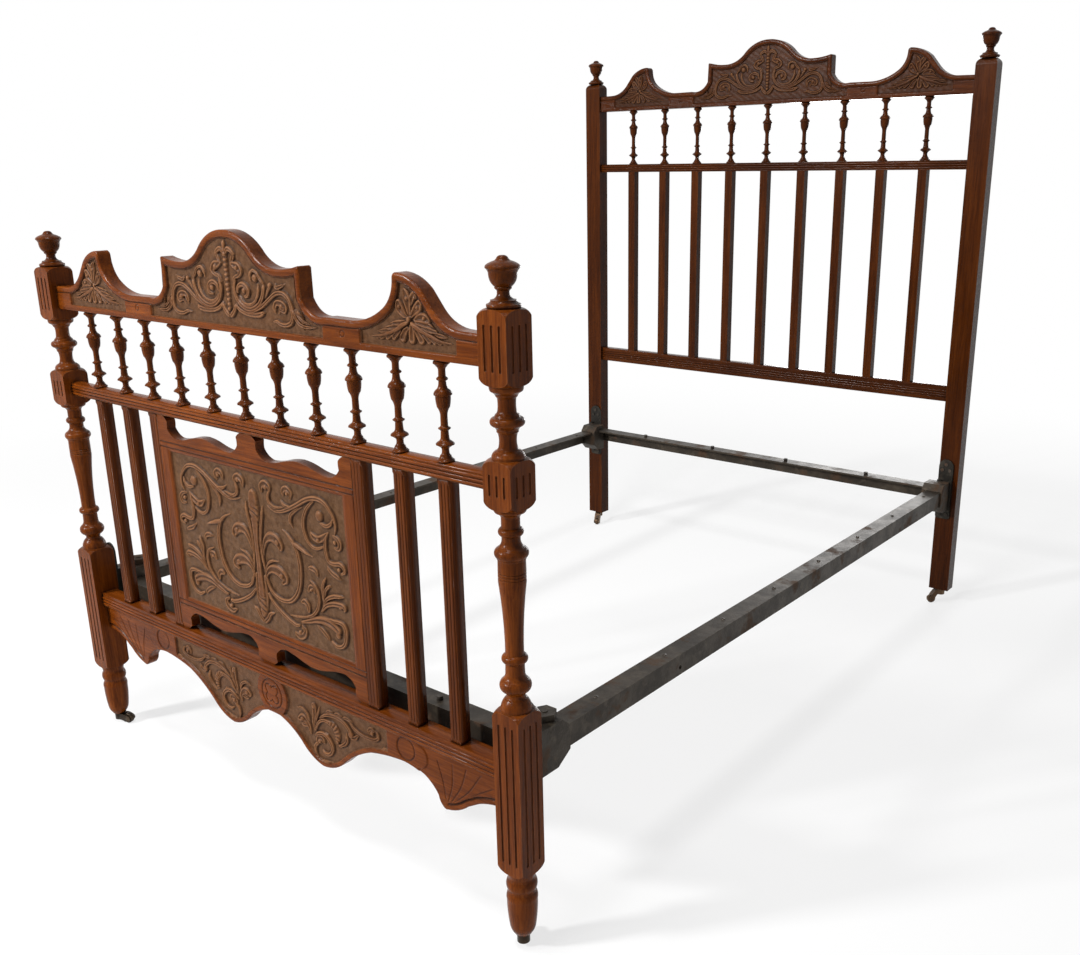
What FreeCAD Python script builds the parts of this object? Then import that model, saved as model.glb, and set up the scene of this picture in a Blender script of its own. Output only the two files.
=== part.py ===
import FreeCAD, Part
import math
import os

from FreeCAD import Rotation, Vector

# A double spindle bed: carved and turned wooden ends, an angle-iron frame that hooks on to
# iron plates on the posts, and small casters. Millimetres. +Z is up, the foot end is at -Y,
# the head end at +Y, and the origin is on the floor under the middle of the bed.

doc = FreeCAD.newDocument("spindle_bed")
sheet = doc.addObject("Spreadsheet::Sheet", "sizes")

SIZES = (
    # the whole bed
    ("bed_length", 2004, "front of the foot posts to back of the head posts"),
    ("post_spacing", 1330, "between the centre lines of a pair of posts"),
    ("joint_gap", 0.2, "clearance round a tenon, pin or shank in its hole"),
    ("tenon_length", 20, "length of a rail's tenon"),
    ("tenon_thickness", 12, "thickness of a rail's tenon"),
    ("tenon_shoulder", 6, "from a rail's edge to its tenon"),
    ("reed_groove", 1.1, "radius of the grooves between reeds"),
    ("reed_pitch", 7, "between the grooves of a reeded face"),
    # foot posts
    ("foot_post_side", 57, "side of the square foot post"),
    ("foot_wood_bottom", 25, "floor to the wood of the foot posts"),
    ("lower_block_bottom", 165, "lowest square part of the foot post"),
    ("lower_block_top", 447, "top of that square part"),
    ("middle_block_bottom", 813, "square part that takes the middle rail"),
    ("middle_block_top", 869, "top of that square part"),
    ("upper_block_bottom", 1004, "square part that takes the crest rail"),
    ("upper_block_top", 1095, "top of that square part"),
    ("shoulder_rise", 11.5, "height of the domed shoulder of a square part"),
    ("shoulder_radius", 26, "radius where the turning meets a shoulder"),
    ("flute_radius", 2.4, "half the width of a stopped flute"),
    ("flute_pitch", 15, "between the flutes of a face"),
    ("flute_stop", 13, "from a square part's corner to the flute's end"),
    # head posts
    ("head_post_width", 58, "width of the head post"),
    ("head_post_depth", 42, "depth of the head post"),
    ("head_wood_bottom", 48, "floor to the wood of the head posts"),
    ("head_post_top", 1570.5, "top of the head post's wood"),
    ("head_post_round", 17, "rounding of the head post's top"),
    # finials
    ("finial_radius", 26, "radius of the finial's rim"),
    ("dowel_radius", 8, "radius of the finial's dowel"),
    ("dowel_length", 25, "length of the finial's dowel"),
    # crest rails
    ("crest_thickness", 29, "thickness of both crest rails"),
    ("foot_crest_bottom", 1018, "floor to the foot crest rail"),
    ("head_crest_bottom", 1480.5, "floor to the head crest rail"),
    ("carving_depth", 4, "depth of the sunk grounds that hold the carving"),
    ("crest_border", 11, "width of the raised border round the grounds"),
    # rails of the foot
    ("foot_rail_front", 15, "post front to the front of the middle rail"),
    ("foot_rail_thickness", 28, "thickness of the middle rail"),
    ("foot_rail_bottom", 826.5, "floor to the middle rail"),
    ("foot_rail_top", 855, "floor to the crown of the middle rail"),
    ("foot_rail_bevel", 5, "drop of the middle rail's front edge"),
    ("apron_front", 13, "post front to the front of the apron's reeded band"),
    ("apron_thickness", 37, "thickness of the reeded band"),
    ("apron_top", 351, "floor to the top of the apron"),
    ("apron_band", 31, "height of the reeded band"),
    ("apron_tenon", 90, "apron's top to the bottom of its tenons"),
    ("apron_board_front", 20, "post front to the front of the shaped board"),
    ("apron_board_thickness", 27, "thickness of the shaped board"),
    # rails of the head
    ("head_rail_thickness", 27, "thickness of the head's plain rails"),
    ("head_rail_bottom", 1284, "floor to the head's middle rail"),
    ("head_rail_top", 1309.5, "floor to that rail's top"),
    ("head_low_rail_bottom", 631, "floor to the head's bottom rail"),
    ("head_low_rail_top", 676, "floor to that rail's top"),
    # spindles and flat slats
    ("foot_spindle_pitch", 106, "between the foot spindles"),
    ("foot_spindle_count", 11, "spindles in the foot"),
    ("head_spindle_pitch", 127, "between the head spindles and slats"),
    ("head_spindle_count", 9, "spindles, and slats, in the head"),
    ("spindle_pin_radius", 5, "radius of the pins at a spindle's ends"),
    ("spindle_pin_length", 10, "length of those pins"),
    ("slat_width", 26, "width of a slat"),
    ("slat_thickness", 24, "thickness of a slat"),
    ("slat_front", 18.5, "post front to the front of the foot slats"),
    ("slat_tenon", 8, "length of a slat's tenon"),
    ("slat_shoulder", 5, "from a slat's side to its tenon"),
    # carved panel and its frame
    ("stile_place", 318, "bed's middle to the centre of a panel stile"),
    ("stile_width", 29.5, "width of a panel stile"),
    ("panel_front", 20, "post front to the front of the panel"),
    ("panel_thickness", 20, "thickness of the panel"),
    ("panel_bottom", 406, "floor to the bottom of the panel"),
    ("panel_top", 771, "floor to the top of the panel"),
    ("panel_margin", 31, "plain margin at the sides of the carved field"),
    ("panel_margin_height", 20, "plain margin above and below the field"),
    ("panel_joint", 0.3, "gap between the panel and its neighbours"),
    # angle iron
    ("iron_leg", 44, "width of each leg of the angle iron"),
    ("iron_thickness", 5, "thickness of the angle iron"),
    ("side_rail_top", 375, "floor to the top of the side rails"),
    ("side_rail_out", 4, "post's centre line to the outer face of a side rail"),
    ("side_rail_set", 72.5, "end of the bed to the end of a side rail"),
    ("cross_end_in", 29, "post's centre line to the end of a cross iron"),
    ("foot_cross_set", 71, "post front to the outer face of the foot cross iron"),
    ("head_cross_set", 46, "post back to the outer face of the head cross iron"),
    ("stud_radius", 6, "radius of the studs on the cross irons"),
    ("stud_height", 8, "height of the studs"),
    ("stud_pitch", 278, "between the studs"),
    ("rivet_radius", 5, "radius of a rivet's head"),
    ("rivet_height", 2.5, "height of a rivet's head"),
    ("rivet_shank", 2.8, "radius of a rivet's shank"),
    ("rivet_count", 8, "rivets in a side rail"),
    ("rivet_first", 265.5, "post front to the first rivet"),
    ("rivet_last", 177.5, "last rivet to the back of the head post"),
    ("rivet_line", 24, "outer face of the side rail to its rivets"),
    ("leg_hole_radius", 4.5, "radius of the hole in the right side rail's upright leg"),
    ("leg_hole_set", 510, "post front to that hole"),
    ("leg_hole_drop", 28, "top of the rail to that hole"),
    # post plates
    ("plate_thickness", 5, "thickness of a post plate"),
    ("plate_width", 43, "width of a post plate"),
    ("plate_bottom", 278, "floor to the bottom of a post plate"),
    ("plate_top", 460, "floor to the top of a post plate"),
    ("socket_depth", 8.5, "height of the plate's dovetail ribs"),
    ("socket_mouth", 20, "width of the dovetail socket's mouth"),
    ("socket_flare", 3, "how much each side of the socket widens inside"),
    ("socket_bottom", 304, "floor to the bottom of the dovetail ribs"),
    ("socket_top", 398, "floor to the top of the dovetail ribs"),
    ("socket_gap", 0.3, "clearance of the dovetail in its socket"),
    ("screw_head", 5, "radius of a plate screw's head"),
    ("screw_head_height", 2, "height of that head"),
    ("screw_shank", 2.5, "radius of its shank"),
    ("screw_length", 25, "length of its shank"),
    # corner castings
    ("casting_in", 51, "post's centre line to the inner side of a casting"),
    ("casting_out", 9, "post's centre line to the outer side of a casting"),
    ("casting_gap", 0.8, "space between a casting and the ribs of its plate"),
    ("casting_bottom", 308, "floor to the bottom of the castings"),
    ("casting_top", 395, "floor to the top of the castings"),
    ("foot_casting_length", 84, "length of a foot casting"),
    ("head_casting_length", 56, "length of a head casting"),
    ("casting_shoulder", 18, "drop of a casting's sloping nose"),
    ("casting_nose", 22, "rise of the nose's lower end above the casting's bottom"),
    ("tongue_length", 64, "height of the casting's dovetail tongue"),
    ("tongue_set", 2, "casting's bottom to the tongue"),
    ("nut_radius", 22.5, "radius of the corner nut"),
    ("nut_height", 13, "height of the corner nut"),
    ("bolt_radius", 6, "radius of the corner bolt"),
    ("bolt_set", 121, "post front to the corner bolt"),
    ("bolt_foot", 4, "casting's bottom to the bolt's lower end"),
    ("bolt_tip", 1.5, "the bolt's upper end above its nut"),
    # casters
    ("wheel_radius", 12.5, "radius of a caster wheel"),
    ("wheel_width", 13, "width of a caster wheel"),
    ("wheel_gap", 1.2, "space between the wheel and its horn"),
    ("axle_radius", 2.5, "radius of a caster axle"),
    ("running_gap", 0.05, "radial clearance of axle and swivel pin"),
    ("horn_width", 20, "width of a caster horn"),
    ("caster_trail", 27, "swivel axis to wheel axis"),
    ("pin_radius", 5, "radius of the caster's swivel pin"),
    ("pin_length", 30, "length of the swivel pin above the horn"),
    ("cup_wall", 2, "wall and flange thickness of the caster cup"),
    ("foot_cup_radius", 12.5, "radius of the foot caster cup's flange"),
    ("head_cup_radius", 14, "radius of the head caster cup's flange"),
    ("foot_horn_drop", 15, "depth of a foot caster horn's crown"),
    ("head_horn_drop", 17, "depth of a head caster horn's crown"),
    ("swivel_gap", 0.3, "space between the horn and the cup's flange"),
)

for row, (alias, number, meaning) in enumerate(SIZES, start=1):
    sheet.set(f"A{row}", alias)
    sheet.set(f"B{row}", str(number))
    sheet.set(f"C{row}", meaning)
    sheet.setAlias(f"B{row}", alias)
doc.recompute()

nodes = []


def size(alias):
    """The number that the sheet holds under this name."""
    return float(getattr(sheet, alias))


def bind(thing, formulas):
    for prop, formula in formulas.items():
        thing.setExpression(prop, formula)


def place(thing, x="0", y="0", z="0"):
    """Bind a piece's place to formulas in the sheet's names."""
    bind(thing, {"Placement.Base.x": x, "Placement.Base.y": y, "Placement.Base.z": z})


def keep(thing, label):
    """Name a finished sub-part and add it to the list of nodes."""
    thing.Label = label
    nodes.append(thing)
    return thing


def box(name, x, y, z, length, width, height):
    """A box given by the formulas of its centre in X, its low Y and Z, and its sizes."""
    thing = doc.addObject("Part::Box", name)
    bind(thing, {"Length": length, "Width": width, "Height": height})
    place(thing, f"({x}) - ({length}) / 2", y, z)
    return thing


def rod(name, axis, x, y, z, radius, length):
    """A cylinder that starts at a point and runs along an axis."""
    thing = doc.addObject("Part::Cylinder", name)
    thing.Placement.Rotation = Rotation(Vector(0, 0, 1), axis)
    bind(thing, {"Radius": radius, "Height": length})
    place(thing, x, y, z)
    return thing


def fuse(name, things):
    thing = doc.addObject("Part::MultiFuse", name)
    thing.Shapes = things
    return thing


def cut(name, base, tools):
    """Cut a list of tools out of a base."""
    thing = doc.addObject("Part::Cut", name)
    thing.Base = base
    if len(tools) == 1:
        thing.Tool = tools[0]
    else:
        group = doc.addObject("Part::Compound", name + "_tools")
        group.Links = tools
        thing.Tool = group
    return thing


def group(name, things):
    """Separate solids that share one node."""
    thing = doc.addObject("Part::Compound", name)
    thing.Links = things
    return keep(thing, name)


def bulged(start, end, bulge):
    """The arc from start to end that stands out to the right of the way by bulge."""
    way = end - start
    side = Vector(way.y, -way.x, 0)
    side.normalize()
    return Part.Arc(start, (start + end) * 0.5 + side * bulge, end)


def path(steps):
    """Lines and arcs through steps of (x, y) or (x, y, bulge)."""
    curves = []
    here = Vector(steps[0][0], steps[0][1], 0)
    for step in steps[1:]:
        there = Vector(step[0], step[1], 0)
        if len(step) == 3:
            curves.append(bulged(here, there, step[2]))
        else:
            curves.append(Part.LineSegment(here, there))
        here = there
    return curves


def sketched(name, plane, curves):
    """A body and its first sketch on one of its origin planes."""
    body = doc.addObject("PartDesign::Body", name)
    sketch = body.newObject("Sketcher::SketchObject", name + "_sketch")
    planes = [item for item in body.Origin.OriginFeatures if item.Role == plane]
    sketch.AttachmentSupport = (planes[0], [""])
    sketch.MapMode = "FlatFace"
    for curve in curves:
        sketch.addGeometry(curve, False)
    return body, sketch


def turned(name, steps):
    """A body turned about its own Z axis from steps of (radius, height, bulge)."""
    first, last = steps[0], steps[-1]
    loop = [(0, first[1])] + list(steps) + [(0, last[1])]
    loop = [step for count, step in enumerate(loop) if count == 0 or step[:2] != loop[count - 1][:2]]
    body, sketch = sketched(name, "XZ_Plane", path(loop + [(0, first[1])]))
    turning = body.newObject("PartDesign::Revolution", name + "_turning")
    turning.Profile = sketch
    turning.ReferenceAxis = (sketch, ["V_Axis"])
    turning.Angle = 360
    return body


def board(name, plane, steps, thickness):
    """A body of even thickness, centred on its plane, with an outline of lines and arcs."""
    body, sketch = sketched(name, plane, path(steps))
    pad = body.newObject("PartDesign::Pad", name + "_pad")
    pad.Profile = sketch
    pad.SideType = "Symmetric"
    pad.setExpression("Length", thickness)
    return body


def both_halves(half):
    """A closed outline, mirrored in X, from the steps of its right half."""
    mirrored = []
    for count in range(len(half) - 1, 0, -1):
        x, y = half[count - 1][0], half[count - 1][1]
        bulge = half[count][2:]
        mirrored.append((-x, y) + tuple(bulge))
    return list(half) + [(-half[-1][0], half[-1][1])] + mirrored


def raised(steps, start):
    """The steps of a turned stretch, lifted to the height at which it starts."""
    return [(step[0], step[1] + start) + tuple(step[2:]) for step in steps]


# The head finials stand out behind their posts, and the bed is centred with them.
OVERHANG = "(sizes.finial_radius - sizes.head_post_depth / 2)"
FOOT_FRONT = f"(-(sizes.bed_length + {OVERHANG}) / 2)"
HEAD_BACK = f"({FOOT_FRONT} + sizes.bed_length)"
MIDDLE_Y = f"({FOOT_FRONT} + sizes.bed_length / 2)"
FOOT_AXIS = f"({FOOT_FRONT} + sizes.foot_post_side / 2)"
HEAD_AXIS = f"({HEAD_BACK} - sizes.head_post_depth / 2)"
FOOT_INNER = "(sizes.post_spacing / 2 - sizes.foot_post_side / 2)"
HEAD_INNER = "(sizes.post_spacing / 2 - sizes.head_post_width / 2)"
PLATE_MIDDLE = f"({FOOT_INNER} + sizes.plate_width / 2)"
RAIL_PLACE = "(sizes.post_spacing / 2 + sizes.side_rail_out)"
CROSS_END = "(sizes.post_spacing / 2 - sizes.cross_end_in)"
SIDES = (("left", -1), ("right", 1))

overhang = size("finial_radius") - size("head_post_depth") / 2
foot_front = -(size("bed_length") + overhang) / 2
foot_axis = foot_front + size("foot_post_side") / 2
head_axis = foot_front + size("bed_length") - size("head_post_depth") / 2
shoulder = size("shoulder_radius")


# ---- turned foot posts ----------------------------------------------------------------

# The peg foot and its ring, from the wood's bottom up: (radius, height, bulge).
PEG = (
    (14, 0), (15.5, 1.5, 0.5), (23.3, 20, 1.5), (27, 72, 1), (24.5, 87, 1.5), (24, 91),
    (24, 113, 3.3), (23.5, 117),
)
# The long baluster, up from the lower square part, then down from the middle one.
BALUSTER_FOOT = (
    (shoulder, 0), (19, 20, 2), (15.5, 24, -0.6), (15.5, 27), (22, 34, -0.8), (21, 54.5, 5),
    (16.3, 64, -1), (15.8, 83), (15.8, 98, 6), (15.3, 103), (15.3, 118),
)
BALUSTER_NECK = (
    (22.5, -84), (23.5, -80.5, 0.5), (22, -64, 4.8), (15, -51, -1.8), (15, -45),
    (15, -31, 5.3), (15, -15), (24, -6, -1.8), (shoulder, 0, 0.8),
)
BALUSTER_SWELL = (22.8, -121)
INCISED_RINGS = (-114.5, -109.5, -104.5)
# The short baluster between the middle and upper square parts.
SHORT_FOOT = (
    (shoulder, 0), (26, 4), (20, 12, 1), (15, 17, -0.8), (15, 39, -1.5), (17, 41.5), (17, 44),
    (22, 50, -0.8),
)
SHORT_NECK = (
    (20, -48, 6), (18.5, -44), (14.5, -38, -0.8), (14.5, -19, -0.6), (17, -16), (20.5, -11, -0.6),
    (25, -8), (shoulder, 0, 0.8),
)
# The urn finial, from its seat on the post up.
FINIAL = (
    (24, 0), (25.5, 2), (25.5, 6, 0.5), (19.5, 10, -0.6), (19.5, 12), (9.5, 20, -2.2), (9.5, 25),
    (12.5, 28), (12.5, 30.5, 0.6), (20, 41, 1), (21.5, 51, 0.3), (size("finial_radius"), 57.5, -0.6),
    (size("finial_radius"), 60), (24.5, 62), (13, 67.5, 0.6), (9, 71, -0.5), (0.01, 75, 1.8),
)


def incised(radius, height):
    """A small V cut round a turning."""
    return [(radius, height - 1.2), (radius - 1, height), (radius, height + 1.2)]


def foot_turning():
    """The steps of a foot post's turning, from its foot to its top."""
    rise = size("shoulder_rise")
    middle_bottom = size("middle_block_bottom") - rise
    upper_bottom = size("upper_block_bottom") - rise
    steps = raised(PEG, size("foot_wood_bottom"))
    steps.append((shoulder, size("lower_block_bottom") - rise))
    steps += raised(BALUSTER_FOOT, size("lower_block_top") + rise)
    steps.append((BALUSTER_SWELL[0], middle_bottom + BALUSTER_SWELL[1], -1.5))
    for height in INCISED_RINGS:
        steps += incised(BALUSTER_SWELL[0], middle_bottom + height)
    steps += raised(BALUSTER_NECK, middle_bottom)
    steps += raised(SHORT_FOOT, size("middle_block_top") + rise)
    steps += raised(SHORT_NECK, upper_bottom)
    steps.append((shoulder, size("upper_block_top") + rise))
    return steps


def post_block(name, x, bottom, top):
    """A square part of the foot post, its corners turned away to domed shoulders."""
    rise = size("shoulder_rise")
    corner = size("foot_post_side") / math.sqrt(2) + 0.1
    low, high = size(bottom), size(top)
    dome = turned(name + "_dome", [
        (shoulder, low - rise), (corner, low, 2.5), (corner, high), (shoulder, high + rise, 2.5),
    ])
    place(dome, x, FOOT_AXIS)
    square = box(
        name + "_square", x, FOOT_FRONT, f"sizes.{bottom} - sizes.shoulder_rise",
        "sizes.foot_post_side", "sizes.foot_post_side",
        f"sizes.{top} - sizes.{bottom} + 2 * sizes.shoulder_rise",
    )
    block = doc.addObject("Part::Common", name)
    block.Base = dome
    block.Tool = square
    return block


def flutes(name, x, y, direction, bottom, top):
    """Three stopped flutes up a face; direction is the way along the face."""
    tools = []
    for count in (-1, 0, 1):
        shift_x = f"({x}) + {count * direction[0]} * sizes.flute_pitch"
        shift_y = f"({y}) + {count * direction[1]} * sizes.flute_pitch"
        low = f"sizes.{bottom} + sizes.flute_stop"
        height = f"sizes.{top} - sizes.{bottom} - 2 * sizes.flute_stop"
        tag = f"{name}_{count + 1}"
        tools.append(rod(tag, Vector(0, 0, 1), shift_x, shift_y, low, "sizes.flute_radius", height))
        for end, z in (("low", low), ("high", f"{low} + {height}")):
            ball = doc.addObject("Part::Sphere", f"{tag}_{end}")
            ball.setExpression("Radius", "sizes.flute_radius")
            place(ball, shift_x, shift_y, z)
            tools.append(ball)
    return tools


def mortise(name, side, inner, axis, bottom, top):
    """The slot in a post for a rail's tenon."""
    middle = f"{side} * ({inner} + (sizes.tenon_length + sizes.joint_gap) / 2)"
    return box(
        name, middle, f"{axis} - sizes.tenon_thickness / 2 - sizes.joint_gap",
        f"{bottom} + sizes.tenon_shoulder - sizes.joint_gap",
        "sizes.tenon_length + sizes.joint_gap",
        "sizes.tenon_thickness + 2 * sizes.joint_gap",
        f"({top}) - ({bottom}) - 2 * sizes.tenon_shoulder + 2 * sizes.joint_gap",
    )


def post_bores(name, x, y, bottom, top):
    """The holes for a caster's cup and a finial's dowel."""
    cup = rod(
        name + "_cup_bore", Vector(0, 0, 1), x, y, f"{bottom} - 1",
        "sizes.pin_radius + sizes.running_gap + sizes.cup_wall + sizes.joint_gap",
        "sizes.pin_length + 4",
    )
    dowel = rod(
        name + "_dowel_bore", Vector(0, 0, 1), x, y,
        f"{top} - sizes.dowel_length - 1", "sizes.dowel_radius + sizes.joint_gap",
        "sizes.dowel_length + 2",
    )
    return [cup, dowel]


SCREW_PLACES = ((-11, -32), (11, -32), (0, -15), (-11, 13), (11, 13))


def screw_height(count):
    """Screws hang from the plate's top, except the last two, which stand on its bottom."""
    end = "sizes.plate_top" if count < 3 else "sizes.plate_bottom"
    return f"{end} + {SCREW_PLACES[count][1]}"


def screw_holes(name, side, y, direction):
    """The screw holes of a post plate: through the plate, then into the post."""
    tools = []
    for count, spot in enumerate(SCREW_PLACES):
        x = f"{side} * {PLATE_MIDDLE} + {spot[0]}"
        start = f"{y} - {direction} * (sizes.plate_thickness + 1)"
        tools.append(rod(
            f"{name}_hole_{count}", Vector(0, direction, 0), x, start, screw_height(count),
            "sizes.screw_shank + sizes.joint_gap",
            "sizes.screw_length + sizes.plate_thickness + 2",
        ))
    return tools


FOOT_TOP = "(sizes.upper_block_top + sizes.shoulder_rise)"
APRON_LOW = "(sizes.apron_top - sizes.apron_tenon)"


def foot_post(label, side):
    name = f"foot_post_{label}"
    x = f"{side} * sizes.post_spacing / 2"
    stem = turned(name + "_turning", foot_turning())
    place(stem, x, FOOT_AXIS)
    blocks = [("lower_block_bottom", "lower_block_top"), ("middle_block_bottom", "middle_block_top"),
              ("upper_block_bottom", "upper_block_top")]
    solids = [stem]
    tools = post_bores(name, x, FOOT_AXIS, "sizes.foot_wood_bottom", FOOT_TOP)
    outer = f"{x} + {side} * sizes.foot_post_side / 2"
    for count, (bottom, top) in enumerate(blocks):
        solids.append(post_block(f"{name}_block_{count}", x, bottom, top))
        tools += flutes(f"{name}_front_{count}", x, FOOT_FRONT, (1, 0), bottom, top)
        tools += flutes(f"{name}_side_{count}", outer, FOOT_AXIS, (0, 1), bottom, top)
    tools.append(mortise(name + "_apron", side, FOOT_INNER, FOOT_AXIS, APRON_LOW, "sizes.apron_top"))
    tools.append(mortise(name + "_rail", side, FOOT_INNER, FOOT_AXIS,
                         "sizes.foot_rail_bottom", "sizes.foot_rail_top"))
    tools.append(mortise(name + "_crest", side, FOOT_INNER, FOOT_AXIS,
                         "sizes.foot_crest_bottom", f"sizes.foot_crest_bottom + {CREST_END}"))
    tools += screw_holes(name, side, f"({FOOT_FRONT} + sizes.foot_post_side)", -1)
    keep(cut(name, fuse(name + "_wood", solids), tools), name)


def finial(label, x, y, z):
    name = f"finial_{label}"
    urn = turned(name + "_urn", list(FINIAL))
    place(urn, x, y, z)
    dowel = rod(name + "_dowel", Vector(0, 0, 1), x, y, f"{z} - sizes.dowel_length",
                "sizes.dowel_radius", "sizes.dowel_length + 5")
    keep(fuse(name, [urn, dowel]), name)


# ---- square head posts ----------------------------------------------------------------

def rounded_top(name, base):
    """Round the four top edges of a post."""
    doc.recompute()
    top = base.Shape.BoundBox.ZMax
    edges = []
    for count, edge in enumerate(base.Shape.Edges, start=1):
        if edge.BoundBox.ZMin > top - 0.01:
            edges.append((count, size("head_post_round"), size("head_post_round")))
    thing = doc.addObject("Part::Fillet", name)
    thing.Base = base
    thing.Edges = edges
    return thing


def head_post(label, side):
    name = f"head_post_{label}"
    x = f"{side} * sizes.post_spacing / 2"
    wood = box(name + "_wood", x, f"{HEAD_BACK} - sizes.head_post_depth", "sizes.head_wood_bottom",
               "sizes.head_post_width", "sizes.head_post_depth",
               "sizes.head_post_top - sizes.head_wood_bottom")
    tools = post_bores(name, x, HEAD_AXIS, "sizes.head_wood_bottom", "sizes.head_post_top")
    rails = (("low", "sizes.head_low_rail_bottom", "sizes.head_low_rail_top"),
             ("rail", "sizes.head_rail_bottom", "sizes.head_rail_top"),
             ("crest", "sizes.head_crest_bottom", f"sizes.head_crest_bottom + {CREST_END}"))
    for tag, bottom, top in rails:
        tools.append(mortise(f"{name}_{tag}", side, HEAD_INNER, HEAD_AXIS, bottom, top))
    tools += screw_holes(name, side, f"({HEAD_BACK} - sizes.head_post_depth)", 1)
    keep(cut(name, rounded_top(name + "_rounded", wood), tools), name)


# ---- crest rails ----------------------------------------------------------------------

def fitted(steps, reach):
    """The steps of an outline, spread so that the last one meets the post."""
    spread = reach / steps[-1][0]
    return [(step[0] * spread, step[1]) + tuple(step[2:]) for step in steps]


# Right half of the crest's top, in X and height above its bottom: dome, hollow, horn,
# hollow side, low flat, ear, the slope and the post.
CREST_TOP = (
    (0, 183.5), (78, 153, -8.5), (150, 121, 9), (207, 128.5, 2), (209.5, 122, -2.5),
    (213, 73, 7.5), (271, 47.5, 10.5), (330, 47), (415, 72, 7), (441, 122, 7), (449, 130, -2),
    (506, 107, -5.5), (530, 77.5), (592, 49.5, 7.5), (636.5, 48.5),
)
CREST_END = CREST_TOP[-1][1]
GROUND_LOW = 11
GROUNDS = ((-264, 264), (357, 578), (-578, -357))


def crest_outline(end):
    """The crest's closed outline between the posts' inner faces."""
    half = fitted(CREST_TOP, end) + [(end, 0)]
    return both_halves(half)


def crest_ground(name, end, y, bottom):
    """The sunk grounds: the outline drawn in by the border's width, in three lengths."""
    edges = [curve.toShape() for curve in path(crest_outline(end))]
    wire = Part.Wire(Part.__sortEdges__(edges))
    inner = wire.makeOffset2D(-size("crest_border"))
    depth = size("carving_depth")
    solid = Part.Face(inner).extrude(Vector(0, 0, depth + 1))
    solid.rotate(Vector(0, 0, 0), Vector(1, 0, 0), 90)
    pieces = []
    spread = end / CREST_TOP[-1][0]
    for low, high in GROUNDS:
        window = Part.makeBox((high - low) * spread, depth + 3, 300,
                              Vector(low * spread, -depth - 2, GROUND_LOW))
        pieces.append(solid.common(window))
    ground = doc.addObject("Part::Feature", name)
    ground.Shape = Part.makeCompound(pieces)
    place(ground, "0", f"{y} + sizes.carving_depth", bottom)
    return ground


def tenons(name, inner, axis, bottom, top):
    """A rail's two tenons."""
    things = []
    for label, side in SIDES:
        things.append(box(
            f"{name}_tenon_{label}", f"{side} * ({inner} + sizes.tenon_length / 2 - 0.5)",
            f"{axis} - sizes.tenon_thickness / 2", f"{bottom} + sizes.tenon_shoulder",
            "sizes.tenon_length + 1", "sizes.tenon_thickness",
            f"({top}) - ({bottom}) - 2 * sizes.tenon_shoulder",
        ))
    return things


def spindle_places(count, pitch):
    """The formulas of a row of spindles, from left to right."""
    middle = (int(size(count)) - 1) / 2
    return [f"{number - middle} * sizes.{pitch}" for number in range(int(size(count)))]


def pin_holes(name, places, y, z):
    """The holes for spindle pins; z is the hole's low end."""
    return [rod(f"{name}_pin_hole_{count}", Vector(0, 0, 1), x, y, z,
                "sizes.spindle_pin_radius + sizes.joint_gap", "sizes.spindle_pin_length + 2")
            for count, x in enumerate(places)]


def crest_rail(end, inner, axis, bottom, places):
    name = f"{end}_crest_rail"
    reach = size("post_spacing") / 2 - size(
        "foot_post_side" if end == "foot" else "head_post_width") / 2
    panel = board(name + "_board", "XZ_Plane", crest_outline(reach), "sizes.crest_thickness")
    place(panel, "0", axis, bottom)
    solids = [panel] + tenons(name, inner, axis, bottom, f"{bottom} + {CREST_END}")
    tools = [crest_ground(name + "_ground", reach, f"({axis} - sizes.crest_thickness / 2)", bottom)]
    tools += pin_holes(name, places, axis, f"{bottom} - 2")
    keep(cut(name, fuse(name + "_wood", solids), tools), name)


# ---- plain rails ----------------------------------------------------------------------

def reed_grooves(name, y, z, length, count):
    """Grooves along X, one above another, that leave reeds between them."""
    return [rod(f"{name}_groove_{number}", Vector(1, 0, 0), f"-({length}) / 2", y,
                f"({z}) + {number} * sizes.reed_pitch", "sizes.reed_groove", length)
            for number in range(count)]


def slat_mortises(name, places, y, z):
    return [box(f"{name}_slat_hole_{count}", x,
                f"{y} + sizes.slat_shoulder - sizes.joint_gap", z,
                "sizes.slat_width - 2 * sizes.slat_shoulder + 2 * sizes.joint_gap",
                "sizes.slat_thickness - 2 * sizes.slat_shoulder + 2 * sizes.joint_gap",
                "sizes.slat_tenon + 1")
            for count, x in enumerate(places)]


# Each reeded rail's first groove above the bottom of its face, and how many there are.
MID_RAIL_REEDS = (1.5, 4)
APRON_REEDS = (6.5, 4)
HEAD_RAIL_REEDS = (5.5, 3)
HEAD_LOW_RAIL_REEDS = (15.5, 3)

FOOT_SLAT_Y = f"({FOOT_FRONT} + sizes.slat_front)"
HEAD_SLAT_Y = f"({HEAD_AXIS} - sizes.slat_thickness / 2)"
FOOT_PLACES = spindle_places("foot_spindle_count", "foot_spindle_pitch")
HEAD_PLACES = spindle_places("head_spindle_count", "head_spindle_pitch")
FOOT_SLAT_PLACES = FOOT_PLACES[:2] + FOOT_PLACES[-2:]


def stile_mortises(name, z):
    return [box(f"{name}_stile_{label}", f"{side} * sizes.stile_place",
                f"{FOOT_SLAT_Y} + sizes.slat_shoulder - sizes.joint_gap", z,
                "sizes.stile_width - 2 * sizes.slat_shoulder + 2 * sizes.joint_gap",
                "sizes.slat_thickness - 2 * sizes.slat_shoulder + 2 * sizes.joint_gap",
                "sizes.slat_tenon + 1")
            for label, side in SIDES]


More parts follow.
